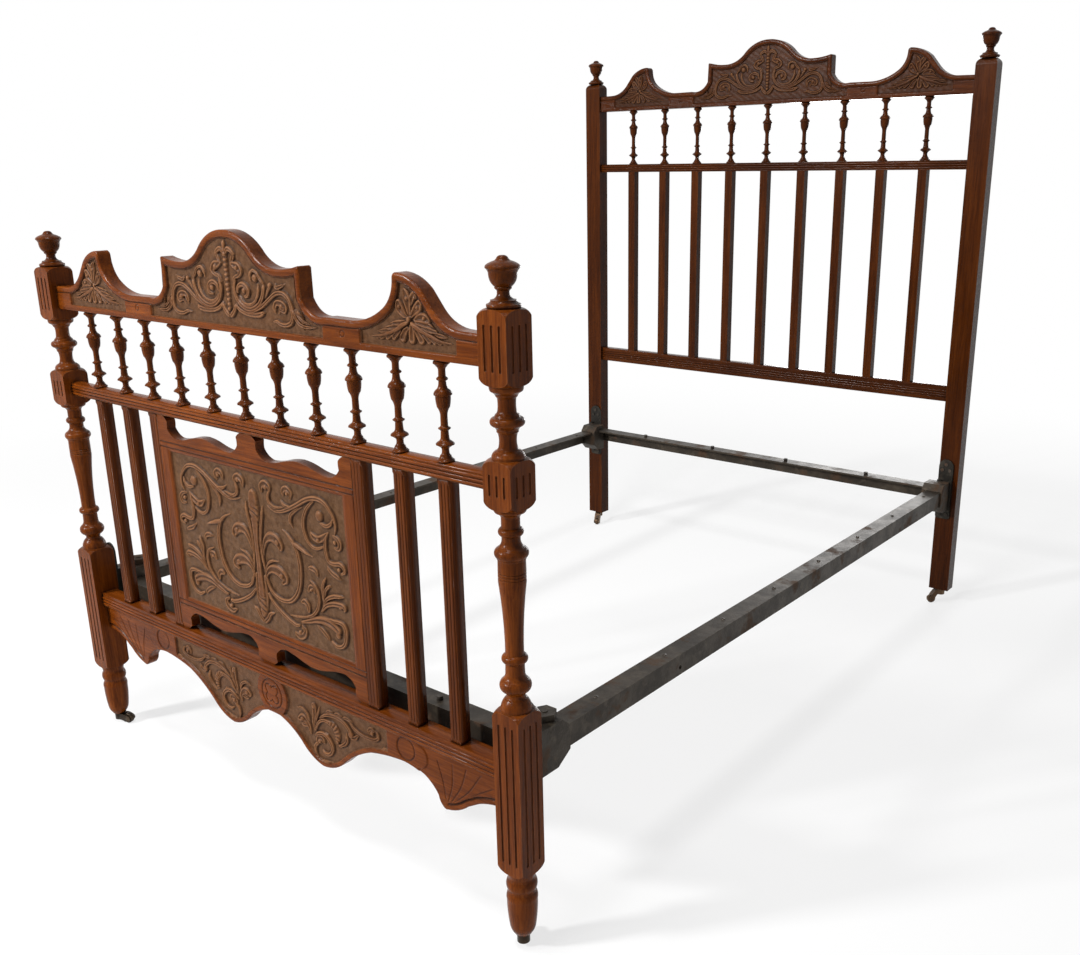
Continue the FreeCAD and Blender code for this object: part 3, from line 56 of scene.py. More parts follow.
# %% [markdown]
# ## Node groups that several finishes share
# Grain, dust and wear show on the wooden pieces, and mottling, wear and rust on the metal ones.
# Both are painted darker in their corners as shade, and carvings get painted highlights on their
# ridges and painted shade in their cuts. Each is a shader node group, built once and placed in
# each material with its own values. A group only puts out colours, masks and values: the shader
# stays in the material, and so does ambient occlusion, which is handed to the painted shade as
# Open.


# %% A small helper that writes node trees
class Tree:
    """Adds nodes to a material or a group, and links them by naming the sockets."""

    def __init__(self, tree):
        self.tree = tree
        self.count = 0

    def fill(self, sockets, values):
        """Link each socket to another node's output, or else write the value on it."""
        for key, value in values.items():
            if isinstance(value, bpy.types.NodeSocket):
                self.tree.links.new(value, sockets[key])
            else:
                sockets[key].default_value = value

    def add(self, kind, values=None, **settings):
        node = self.tree.nodes.new(kind)
        node.location = (self.count % 8 * 180, -(self.count // 8) * 220)
        self.count += 1
        for key, value in settings.items():
            setattr(node, key, value)
        self.fill(node.inputs, values or {})
        return node

    def group(self, group, values):
        """Place a node group, and give its outputs."""
        return self.add("ShaderNodeGroup", values, node_tree=group).outputs

    def math(self, operation, a, b, clamp=False):
        node = self.add("ShaderNodeMath", {0: a, 1: b}, operation=operation, use_clamp=clamp)
        return node.outputs[0]

    def times(self, a, b, clamp=False):
        return self.math("MULTIPLY", a, b, clamp)

    def plus(self, a, b, clamp=False):
        return self.math("ADD", a, b, clamp)

    def minus(self, a, b):
        return self.math("SUBTRACT", a, b)

    def ramp(self, value, low, high):
        """0 below low, 1 above high, smooth between."""
        node = self.add("ShaderNodeMapRange", {"Value": value, "From Min": low, "From Max": high},
                        interpolation_type="SMOOTHSTEP")
        return node.outputs["Result"]

    def mix(self, share, a, b):
        """Colour a where share is 0, and colour b where it is 1."""
        return self.add("ShaderNodeMix", {0: share, 6: a, 7: b}, data_type="RGBA").outputs[2]

    def noise(self, vector, scale, detail=3.0, rough=0.55):
        values = {"Vector": vector, "Scale": scale, "Detail": detail, "Roughness": rough}
        return self.add("ShaderNodeTexNoise", values).outputs["Fac"]


BLACK = (0, 0, 0, 1)


def new_group(name, inputs, outputs):
    """An empty shader group. An input is a float, a colour, or a vector where the default is
    None. The outputs are floats, apart from Colour."""
    group = bpy.data.node_groups.new(name, "ShaderNodeTree")
    for label, default in inputs.items():
        kind = "Vector" if default is None else "Color" if isinstance(default, tuple) else "Float"
        socket = group.interface.new_socket(name=label, in_out="INPUT", socket_type="NodeSocket" + kind)
        if default is not None:
            socket.default_value = default
    for label in outputs:
        kind = "NodeSocketColor" if label == "Colour" else "NodeSocketFloat"
        group.interface.new_socket(name=label, in_out="OUTPUT", socket_type=kind)
    tree = Tree(group)
    given = tree.add("NodeGroupInput").outputs
    out = tree.add("NodeGroupOutput").inputs
    return group, tree, out, [given[label] for label in inputs]


# %% Wood grain: broad figure, fine streaks, pores and clouds of darker stain
grain_group, tree, out, (fibre, place, dark, middle, pale) = new_group(
    "wood_grain", {"Fibre": None, "Vector": None, "Dark": BLACK, "Middle": BLACK, "Pale": BLACK},
    ("Colour", "Roughness", "Height"))
bend = tree.noise(fibre, 1.2, 2.0)
bent = tree.add("ShaderNodeVectorMath", {0: fibre, 1: bend}, operation="ADD").outputs[0]
figure = tree.ramp(tree.noise(fibre, 2.2, 4.0), 0.3, 0.72)
streak = tree.noise(bent, 9.0, 8.0, 0.62)
pore = tree.ramp(tree.noise(bent, 46.0, 3.0, 0.5), 0.56, 0.68)
clouds = tree.ramp(tree.noise(place, 5.0, 4.0), 0.35, 0.7)
stripe = tree.ramp(streak, 0.33, 0.7)
colour = tree.mix(stripe, tree.mix(figure, dark, middle), tree.mix(figure, middle, pale))
colour = tree.mix(0.3, colour, middle)
colour = tree.mix(tree.times(pore, 0.5), colour, dark)
ripple = tree.times(tree.noise(place, 35.0, 2.0), 1.6)
tree.fill(out, {"Colour": tree.mix(tree.times(clouds, 0.3), colour, dark),
                "Roughness": tree.plus(0.16, tree.times(streak, 0.13)),
                "Height": tree.plus(tree.minus(tree.times(streak, 0.35), pore), ripple)})

# %% Carving: dust on its sunk and punched ground, a painted highlight on its ridges, painted shade in its cuts
dust_and_light_group, tree, out, given = new_group(
    "carving_dust_and_painted_light", {"Vector": None, "Colour": BLACK, "Relief": 0.0, "Sunk": 0.0, "Hollow": 0.0,
                     "Crown": 0.0, "Amount": 0.5, "Dust": BLACK, "Pale Dust": BLACK,
                     "Ridge Highlight": BLACK, "Painted Shade": BLACK}, ("Colour", "Roughness", "Height"))
place, colour, relief, sunk, hollow, crown, amount, dust, pale_dust, ridge, painted_shade = given
mottle = tree.ramp(tree.noise(place, 120.0, 5.0, 0.7), 0.3, 0.7)
thin = tree.minus(1.0, tree.times(relief, 0.35))
cover = tree.times(tree.times(sunk, amount), thin, clamp=True)
colour = tree.mix(cover, colour, tree.mix(mottle, dust, pale_dust))
# Painted highlight: the crowns of the ridges are lightened.
colour = tree.mix(tree.times(crown, 0.72, clamp=True), colour, ridge)
punched = tree.times(tree.noise(place, 420.0, 2.0), 2.2)
# Painted shade: the foot of each wall and the grooves are darkened.
tree.fill(out, {"Colour": tree.mix(tree.times(hollow, 0.92, clamp=True), colour, painted_shade),
                "Roughness": tree.times(sunk, 0.12), "Height": tree.times(punched, sunk)})

# %% Edge wear: where the bevelled normal leaves the true one, broken up by noise
wear_group, tree, out, (place, reach, gaps) = new_group(
    "edge_wear", {"Vector": None, "Reach": 0.0015, "Break": 0.5}, ("Wear",))
soft = tree.add("ShaderNodeBevel", {"Radius": reach}, samples=6).outputs[0]
true = tree.add("ShaderNodeNewGeometry").outputs["Normal"]
facing = tree.add("ShaderNodeVectorMath", {0: soft, 1: true}, operation="DOT_PRODUCT")
edge = tree.ramp(facing.outputs["Value"], 0.995, 0.86)
patchy = tree.ramp(tree.noise(place, 60.0, 4.0), gaps, 0.75)
tree.fill(out, {"Wear": tree.times(edge, patchy)})

# %% Painted shade in the corners: darker where little of the sky is open
corner_group, tree, out, (open_sky, unshaded_above) = new_group(
    "painted_corner_shade", {"Open": 1.0, "Unshaded Above": 0.85}, ("Painted Shade",))
tree.fill(out, {"Painted Shade": tree.minus(1.0, tree.ramp(open_sky, 0.3, unshaded_above))})

# %% Blotches in two sizes
blotch_group, tree, out, (place, size, amount) = new_group(
    "blotches", {"Vector": None, "Size": 20.0, "Amount": 0.5}, ("Blotch", "Speck"))
broad = tree.noise(place, size, 5.0, 0.62)
fine = tree.noise(place, tree.times(size, 9.0), 3.0)
threshold = tree.minus(0.78, tree.times(amount, 0.4))
tree.fill(out, {"Blotch": tree.ramp(broad, threshold, tree.plus(threshold, 0.12)),
                "Speck": tree.ramp(fine, 0.6, 0.72)})

# %% The skin of old metal: two mottled tones and a pitted surface
skin_group, tree, out, (place, base, darker) = new_group(
    "metal_skin", {"Vector": None, "Base": BLACK, "Darker": BLACK}, ("Colour", "Tone", "Height"))
mottle = tree.ramp(tree.noise(place, 16.0, 6.0, 0.68), 0.36, 0.66)
dents = tree.times(tree.noise(place, 45.0, 3.0), 2.0)
tree.fill(out, {"Colour": tree.mix(mottle, darker, base), "Tone": mottle,
                "Height": tree.plus(tree.noise(place, 260.0, 4.0), dents)})

# %% Rust: blotches of it on the faces and specks of it in the corners, with painted shade darkening the corners
# Painted shade: the near-black that the corners of the metal are darkened towards.
PAINTED_CORNER_SHADE_COLOUR = (0.012, 0.010, 0.009, 1)
rust_and_shade_group, tree, out, (place, colour, blotch, speck, corner, rust, dark_rust) = new_group(
    "rust", {"Vector": None, "Colour": BLACK, "Blotch": 0.0, "Speck": 0.0, "Corner": 0.0,
             "Rust": BLACK, "Dark Rust": BLACK}, ("Colour", "Rusty"))
specks = tree.times(tree.times(corner, speck), 0.9)
rusty = tree.plus(tree.times(blotch, 0.8), specks, clamp=True)
colour = tree.mix(rusty, colour, tree.mix(tree.noise(place, 180.0, 3.0), rust, dark_rust))
# Painted shade: the corners are darkened halfway to near-black.
tree.fill(out, {"Colour": tree.mix(tree.times(corner, 0.5), colour, PAINTED_CORNER_SHADE_COLOUR), "Rusty": rusty})
print("groups:", [g.name for g in bpy.data.node_groups])

# %% [markdown]
# ## The polished wood
# The wood is an old red-brown hardwood under wax. Its grain runs along each piece: upright in
# posts and slats, level in rails. So one function makes the finish for a direction, and the
# grain is stretched by squeezing the texture space across that direction. Every groove that
# ambient occlusion finds is painted darker as shade, and the polish is rubbed lighter on the
# edges. The head end, further from the lamps, and the slats with the pieces that share their
# finish are painted darker as shade, and the head's carving is less dusty.

# %% What all finishes begin with
SQUEEZE = {"x": (1.3, 30.0, 30.0), "z": (30.0, 30.0, 1.3)}
STAINS = ((0.034, 0.0068, 0.0006), (0.120, 0.0262, 0.0022), (0.208, 0.054, 0.0068))
DUST = ((0.053, 0.0245, 0.0095), (0.108, 0.055, 0.0265))
# The colour that corners, cuts and grooves are darkened towards: painted shade.
PAINTED_SHADE_COLOUR = (0.012, 0.0042, 0.0018, 1)
RUBBED_EDGE = (0.30, 0.125, 0.048)
# The colour of the painted highlight on the carving's ridges.
PAINTED_RIDGE_HIGHLIGHT = (0.29, 0.135, 0.060)
CARVING_MASKS = ("relief", "sunk", "hollow", "crown")


def lit(colour, light=1.0):
    """The colour made lighter or darker, as the four numbers a socket takes."""
    return tuple(c * light for c in colour) + (1,)


def new_finish(name):
    """A material, its tree, its shader and the place on the piece in metres."""
    material = bpy.data.materials.new(name)
    material.use_nodes = True
    tree = Tree(material.node_tree)
    place = tree.add("ShaderNodeTexCoord").outputs["Object"]
    return material, tree, material.node_tree.nodes["Principled BSDF"], place


def openness(tree, reach):
    """Ambient occlusion: 1 on an open face, lower in a corner within reach metres."""
    return tree.add("ShaderNodeAmbientOcclusion", {"Distance": reach}, samples=6).outputs["AO"]


def bumpy(tree, strength, distance, height):
    """The normal, turned by a height over the surface."""
    values = {"Strength": strength, "Distance": distance, "Height": height}
    return tree.add("ShaderNodeBump", values).outputs[0]


# %% The wood finish
def wood(name, along, light=1.0, dusty=0.0, dust_light=1.0, upright_beyond=None):
    """Stained, waxed wood, its grain along X or Z; dusty greys the sunk ground of a carving. Beyond
    upright_beyond metres from the middle the grain turns upright, as in a panel's side margins."""
    # light darkens every colour of the finish as painted shade, and dust_light the carving's dust.
    material, tree, shader, place = new_finish(name)
    fibre = tree.add("ShaderNodeMapping", {"Vector": place, "Scale": SQUEEZE[along]}).outputs[0]
    if upright_beyond:
        upright = tree.add("ShaderNodeMapping", {"Vector": place, "Scale": SQUEEZE["z"]}).outputs[0]
        across = tree.math("ABSOLUTE", tree.add("ShaderNodeSeparateXYZ", {0: place}).outputs["X"], 0)
        fibre = tree.mix(tree.math("GREATER_THAN", across, upright_beyond), fibre, upright)
    dark, middle, pale = (lit(stain, light) for stain in STAINS)
    grain = tree.group(grain_group, {"Fibre": fibre, "Vector": place,
                                     "Dark": dark, "Middle": middle, "Pale": pale})
    # Painted shade: ambient occlusion darkens the colour in corners and makes them rougher.
    painted_shade = tree.group(corner_group, {"Open": openness(tree, 0.010), "Unshaded Above": 0.88})["Painted Shade"]
    wear = tree.group(wear_group, {"Vector": place, "Reach": 0.0014, "Break": 0.35})["Wear"]
    colour, height = grain["Colour"], grain["Height"]
    rough = tree.plus(grain["Roughness"], tree.times(painted_shade, 0.3))
    if dusty:
        # The carving's masks add real dust on its ground, a painted highlight on its ridges and painted
        # shade in its cuts and grooves.
        values = {"Vector": place, "Colour": colour, "Amount": dusty, "Painted Shade": PAINTED_SHADE_COLOUR,
                  "Ridge Highlight": lit(PAINTED_RIDGE_HIGHLIGHT, light ** 0.5),
                  "Dust": lit(DUST[0], dust_light), "Pale Dust": lit(DUST[1], dust_light)}
        for mask in CARVING_MASKS:
            painted = tree.add("ShaderNodeAttribute", attribute_name=mask).outputs["Fac"]
            values[mask.capitalize()] = painted
        dust = tree.group(dust_and_light_group, values)
        colour = dust["Colour"]
        rough = tree.plus(rough, dust["Roughness"])
        height = tree.plus(height, dust["Height"])
    # The painted corner shade goes on here, then the real wear of the edges.
    colour = tree.mix(tree.times(painted_shade, 0.85), colour, PAINTED_SHADE_COLOUR)
    colour = tree.mix(tree.times(wear, 0.55), colour, lit(RUBBED_EDGE, light))
    tree.fill(shader.inputs, {"Base Color": colour, "Roughness": rough, "Specular IOR Level": 0.07,
                              "Normal": bumpy(tree, 0.22, 0.0006, height)})
    return material


PANEL_SIDE = 0.272      # half the width of the panel's sunk field
level_wood = wood("level_wood", "x")
upright_wood = wood("upright_wood", "z")
carved_wood = wood("carved_wood", "x", dusty=0.85)
panel_wood = wood("panel_wood", "x", dusty=0.95, upright_beyond=PANEL_SIDE)
# The slats' finish and the head's finishes are darker copies: painted shade, for the slats in shade and for
# the head end further from the lamps.
slat_wood = wood("slat_wood", "z", light=0.74)
head_wood = wood("head_carved_wood", "x", light=0.46, dusty=0.4, dust_light=0.32)
head_level = wood("head_level_wood", "x", light=0.42)
head_upright = wood("head_upright_wood", "z", light=0.42)
print("wood finishes:", len(bpy.data.materials))

# %% [markdown]
# ## Iron and brass
# The angle iron is bare and brown-black, rubbed lighter along its edges, with blotches of rust.
# The castings are rougher, and the plates on the posts are darker. The casters of the foot are
# blackened brass, and those of the head are dull brown brass. All differ only in numbers, so
# one function makes them, and it paints their corners darker as shade.


# %% The metal finishes
def metal(name, base, worn, rust, rough, rusting, metallic=0.75, grit=1.0):
    """Old metal from three colours: its own, the rubbed one and its rust."""
    material, tree, shader, place = new_finish(name)
    skin = tree.group(skin_group, {"Vector": place, "Base": lit(base), "Darker": lit(base, 0.5)})
    wear = tree.group(wear_group, {"Vector": place, "Reach": 0.0018, "Break": 0.3})["Wear"]
    spots = tree.group(blotch_group, {"Vector": place, "Size": 14.0, "Amount": rusting})
    haze = tree.group(blotch_group, {"Vector": place, "Size": 33.0, "Amount": 0.62})["Blotch"]
    # corner is ambient occlusion: rust specks gather there, and the corners are painted darker as shade.
    corner = tree.group(corner_group, {"Open": openness(tree, 0.014), "Unshaded Above": 0.85})["Painted Shade"]
    colour = tree.mix(tree.times(haze, 0.3), skin["Colour"], lit(worn))
    colour = tree.mix(tree.times(wear, 0.7), colour, lit(worn))
    rusted = tree.group(rust_and_shade_group, {
        "Vector": place, "Colour": colour, "Blotch": spots["Blotch"], "Speck": spots["Speck"],
        "Corner": corner, "Rust": lit(rust), "Dark Rust": lit(rust, 0.4)})
    rusty = rusted["Rusty"]
    rough = tree.plus(rough, tree.times(rusty, 0.35), clamp=True)
    tree.fill(shader.inputs, {
        "Base Color": rusted["Colour"], "Metallic": tree.times(tree.minus(1.0, rusty), metallic),
        "Roughness": tree.plus(rough, tree.times(skin["Tone"], -0.08)), "Specular IOR Level": 0.25,
        "Normal": bumpy(tree, 0.35 * grit, 0.0007, skin["Height"])})
    return material


rail_iron = metal("rail_iron", (0.044, 0.034, 0.024), (0.098, 0.078, 0.055),
                  (0.078, 0.040, 0.020), 0.52, 0.60, metallic=0.5)
rough_iron = metal("rough_iron", (0.040, 0.031, 0.022), (0.100, 0.078, 0.052),
                   (0.078, 0.042, 0.021), 0.55, 0.72, metallic=0.5, grit=2.2)
plate_iron = metal("plate_iron", (0.020, 0.017, 0.013), (0.085, 0.070, 0.052),
                   (0.050, 0.030, 0.018), 0.52, 0.45, metallic=0.5)
old_steel = metal("old_steel", (0.050, 0.042, 0.034), (0.14, 0.12, 0.10),
                  (0.11, 0.048, 0.022), 0.52, 0.6)
old_brass = metal("old_brass", (0.105, 0.062, 0.034), (0.24, 0.155, 0.088),
                  (0.040, 0.024, 0.014), 0.42, 0.6)
black_brass = metal("black_brass", (0.036, 0.024, 0.015), (0.15, 0.10, 0.06),
                    (0.030, 0.020, 0.013), 0.36, 0.6)
print("all finishes:", len(bpy.data.materials))

# %% [markdown]
# ## Finish for the carried-over solids
# The turned posts, spindles, finials and irons keep their CAD meshes. Only the material is set,
# by the first start of a name that fits, so the particular names come before the general ones.

# %% Materials for the CAD nodes
FINISHES = (
    (head_upright, "head_post", "head_slats", "head_spindles", "finial_head"),
    (head_level, "head_mid", "head_low", "head_crest"),
    (rail_iron, "side_rail", "foot_cross", "head_cross"),
    (plate_iron, "post_plate"),
    (rough_iron, "corner_casting", "corner_bolts"),
    (old_steel, "lath_studs", "rail_rivets", "plate_screws", "caster_axle"),
    (black_brass, "caster_horn_foot", "caster_wheel_foot", "caster_cup_foot"),
    (old_brass, "caster_"),
    (level_wood, "foot_mid", "foot_apron", "foot_crest", "panel_top", "panel_bottom"),
    (upright_wood, "foot_post"),
    (slat_wood, ""),
)


def finish_for(name):
    return next(material for material, *starts in FINISHES if name.startswith(tuple(starts)))


for name, node in nodes.items():
    node.data.materials.clear()
    node.data.materials.append(finish_for(name))
print("dressed nodes:", len(nodes))

# %% [markdown]
# ## Boards carved by numbers
# A carved board is a sheet of points that wraps round a plank: up its front, over its top edge
# and down its back. How far each front point lies behind the front plane is a sum of simple
# things: a rounded edge, a sunk ground and the carving in it. So the carving is real geometry,
# and the light finds it from every side. The outline is felt out on the CAD solid with rays, so
# that the carved board has exactly the solid's shape.


# %% Feel the outline of a CAD node
def outline(node, columns, y, up):
    """The height at which a ray meets the node, from above or from below, at each X."""
    data = nodes[node].data
    tree = BVHTree.FromPolygons([v.co for v in data.vertices], [p.vertices for p in data.polygons])
    heights = []
    for x in columns:
        hit = tree.ray_cast(Vector((x, y, 3.0 if up else -1.0)), Vector((0, 0, -1 if up else 1)))[0]
        heights.append(hit.z if hit else np.nan)
    heights = np.array(heights)
    good = ~np.isnan(heights)
    return np.interp(columns, columns[good], heights[good])


def distance_to(x, z, line_x, line_z, reach=45):
    """How far each grid point lies from the outline, in mm, looking reach columns each way."""
    best = np.full(x.shape, 1e9)
    count = len(line_x)
    for shift in range(-reach, reach):
        start = np.clip(np.arange(count) + shift, 0, count - 2)
        ax, az = line_x[start], line_z[start]
        wx, wz = line_x[start + 1] - ax, line_z[start + 1] - az
        gx, gz = x - ax, z - az
        share = np.clip((gx * wx + gz * wz) / np.maximum(wx ** 2 + wz ** 2, 1e-14), 0, 1)
        best = np.minimum(best, (gx - share * wx) ** 2 + (gz - share * wz) ** 2)
    return np.sqrt(best) / MM


def smooth(value, low, high):
    share = np.clip((value - low) / (high - low), 0, 1)
    return share * share * (3 - 2 * share)


def bump_at(distance, width):
    """1 where the distance is 0, falling off softly over about the width."""
    return np.exp(-(distance / width) ** 2)


def inner_face(end):
    """How far the inner faces of that end's posts lie from the middle."""
    return abs(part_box(end + "_post_left")[1].x)


def mirrored_columns(reach, spacing, *closer):
    """Columns from -reach to reach, in metres; closer gives (from, to, spacing) in mm."""
    parts = [np.arange(0, reach * 1000, spacing)] + [np.arange(*part) for part in closer]
    x = np.unique(np.round(np.concatenate(parts + [[reach * 1000]]), 3))
    return np.concatenate([-x[:0:-1], x]) * MM


# %% Turn a grid of points into a piece
def grid_mesh(name, x, y, z, marks=None, closed=True):
    """A mesh from (row, column) arrays; closed joins the last row to the first and caps the ends."""
    rows, columns = x.shape
    mesh = bpy.data.meshes.new(name)
    mesh.vertices.add(rows * columns)
    mesh.vertices.foreach_set("co", np.stack([x, y, z], 2).astype(np.float32).ravel())
    index = np.arange(rows * columns).reshape(rows, columns)
    if closed:
        index = np.vstack([index, index[:1]])
    quads = np.stack([index[:-1, :-1], index[:-1, 1:], index[1:, 1:], index[1:, :-1]], 2).reshape(-1, 4)
    faces = [quads.ravel()]
    starts = list(np.arange(len(quads)) * 4)
    if closed:
        faces += [index[:-1, 0], index[:-1, -1][::-1]]
        starts += [len(quads) * 4, len(quads) * 4 + rows]
    mesh.loops.add(sum(len(f) for f in faces))
    mesh.loops.foreach_set("vertex_index", np.concatenate(faces).astype(np.int32))
    mesh.polygons.add(len(starts))
    mesh.polygons.foreach_set("loop_start", np.array(starts, np.int32))
    mesh.update(calc_edges=True)
    mesh.validate()
    mesh.polygons.foreach_set("use_smooth", np.ones(len(mesh.polygons), bool))
    for label, values in (marks or {}).items():
        layer = mesh.attributes.new(label, "FLOAT", "POINT")
        layer.data.foreach_set("value", values.astype(np.float32).ravel())
    piece = bpy.data.objects.new(name, mesh)
    bpy.context.scene.collection.objects.link(piece)
    return piece


def finished(piece, material, slot, *stands_for, body="bed"):
    piece.data.materials.append(material)
    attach(piece, body)
    if stands_for:
        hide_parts(*stands_for)
    return piece


# %% [markdown]
# ## Strokes of carving
# Traditional scroll carving is drawn with tapering stems that curl into spirals, with leaves and
# round eyes. Here a stroke is a smooth line through a few points, each with a half width. Its
# section is a rounded ridge, or two ridges with a vein between them. Strokes are joined by the
# larger height, as a carver leaves the upper one whole.


# %% Strokes and bosses
SINK = 5.2              # how deep the ground lies behind the front, in millimetres
CARVED_HIGHER = 1.3     # scales every height in the lists of strokes
STEP = 1.2              # millimetres between the points of a stroke's line
FULL = 3.6              # a stroke with a smaller half width than this is lower, too
HOLLOWS = {"vein": (0.5, 0.26, 2), "dish": (0.6, 0.5, 4)}  # depth, half width, squareness
RUNGS = {"bars": (8.5, 0.3, 0.0), "ribs": (6.5, 0.22, 0.0), "twist": (12.0, 0.26, 0.45)}  # pitch, cut, slant


def stroke_line(numbers):
    """A smooth line through the stroke's points, with a new point at each step."""
    p = np.array(numbers, float).reshape(-1, 3)
    p = np.vstack([2 * p[0] - p[1], p, 2 * p[-1] - p[-2]])
    line = []
    for a, b, c, d in zip(p[:-3], p[1:-2], p[2:-1], p[3:]):
        steps = max(3, int(np.hypot(*(c - b)[:2]) / STEP))
        t = (np.arange(steps) / steps)[:, None]
        squared, cubed = (2 * a - 5 * b + 4 * c - d) * t ** 2, (3 * b - a - 3 * c + d) * t ** 3
        line.append(0.5 * (2 * b + (c - a) * t + squared + cubed))
    return np.vstack(line + [p[-2:-1]])


def carve(x, z, strokes, bosses):
    """The height of the carving over its ground, in millimetres, at points given in millimetres."""
    height = np.zeros(x.shape)
    for kind, top, *numbers in strokes:
        line = stroke_line(numbers)
        widest = line[:, 2].max() + 1
        near = ((x > line[:, 0].min() - widest) & (x < line[:, 0].max() + widest)
                & (z > line[:, 1].min() - widest) & (z < line[:, 1].max() + widest))
        if not near.any():
            continue
        px, pz = x[near], z[near]
        gap = np.hypot(px[:, None] - line[None, :, 0], pz[:, None] - line[None, :, 1])
        share = gap / np.maximum(line[None, :, 2], 0.35)
        which = share.argmin(1)
        u = share[np.arange(len(px)), which]
        ridge = np.clip(1 - np.clip(u, 0, 1) ** 3, 0, 1) ** 0.7
        wide = np.clip(line[which, 2] / FULL, 0.45, 1)
        if kind in HOLLOWS:
            cut, half_width, square = HOLLOWS[kind]
            ridge = ridge * (1 - cut * np.exp(-(u / half_width) ** square))
        if kind in RUNGS:
            pitch, cut, slant = RUNGS[kind]
            along = np.arange(len(line))[which] * STEP + slant * px
            ridge = ridge * (1 - cut + cut * np.cos(along * 2 * math.pi / pitch))
        height[near] = np.maximum(height[near], top * wide * ridge)
    for cx, cz, radius, top in bosses:
        u = np.hypot(x - cx, z - cz) / radius
        height = np.maximum(height, top * np.sqrt(np.clip(1 - u ** 2, 0, 1)))
    return np.minimum(height * CARVED_HIGHER, SINK - 0.15)


def mirrored(strokes, bosses):
    """The strokes and their reflection in X."""
    other = [(kind, top, *(np.reshape(numbers, (-1, 3)) * (-1, 1, 1)).ravel())
             for kind, top, *numbers in strokes]
    return strokes + other, bosses + [(-x, z, r, h) for x, z, r, h in bosses]


# %% Wrap a carved sheet round a plank
EDGE_STEPS = np.array([0, 0.3, 0.8, 1.6, 2.8, 4.4, 6.4, 8.4, 10.2, 11.6, 12.4, 12.9, 13.3, 13.8, 14.5, 15.4])
TUCK = 1.6 * MM         # how far the back's edges are rounded
BLUR_ROUNDS = 12        # how widely the masks of cuts and ridges look round them


def carved_board(name, columns, low, high, front, back, sunken, rows=100):
    """A board from low to high at each X; sunken(x, z) gives its front's depth and three masks."""
    height = (high - low) / MM
    edge = EDGE_STEPS * np.minimum(1.0, height.min() * 0.45 / EDGE_STEPS[-1])
    middle = np.linspace(0, 1, rows)[:, None]
    inner = edge[-1] + middle * (height[None, :] - 2 * edge[-1])
    rise = np.repeat(edge[:-1, None], len(columns), 1)
    up = np.vstack([rise, inner, height[None, :] - rise[::-1]])
    z = low[None, :] + up * MM
    x = np.repeat(columns[None, :], len(up), 0)
    depth, relief, sunk, grooves = sunken(x / MM, z / MM)
    y = front + depth * MM
    far = back + 0 * high
    near = far - 3 * TUCK
    lip = np.maximum(y[-1], y[0]) + 1.5 * MM
    back_z = np.stack([high, high, high, high - TUCK, high - 3 * TUCK,
                       low + 3 * TUCK, low + TUCK, low, low, low])
    back_y = np.stack([lip, near, far - TUCK, far, far, far, far, far - TUCK, near, lip])
    back_rows = len(back_z)
    full_x = np.vstack([x, x[:back_rows]])
    full_y = np.vstack([y, back_y])
    full_z = np.vstack([z, back_z])
    # Masks of painted light: hollow marks the foot of each wall and the grooves, painted darker as shade,
    # and crown marks the tops of the ridges, painted lighter as highlight.
    blur = relief.copy()
    for _ in range(BLUR_ROUNDS):
        beside = blur[:-2, 1:-1] + blur[2:, 1:-1] + blur[1:-1, :-2] + blur[1:-1, 2:]
        blur[1:-1, 1:-1] = (blur[1:-1, 1:-1] * 2 + beside) / 6
    cuts = np.clip((blur - relief) * 3.1, 0, 1) * sunk
    hollow = np.maximum(cuts, np.clip(grooves / 1.6, 0, 1) * 0.9)
    crown = np.clip((relief - blur) * 2.5, 0, 1) * sunk
    bare = np.zeros((back_rows, len(columns)))
    fronts = zip(CARVING_MASKS, (relief, sunk, hollow, crown))
    marks = {mask: np.vstack([values, bare]) for mask, values in fronts}
    piece = grid_mesh(name, full_x, full_y, full_z, marks)
    print(name, "points:", len(piece.data.vertices))
    return piece
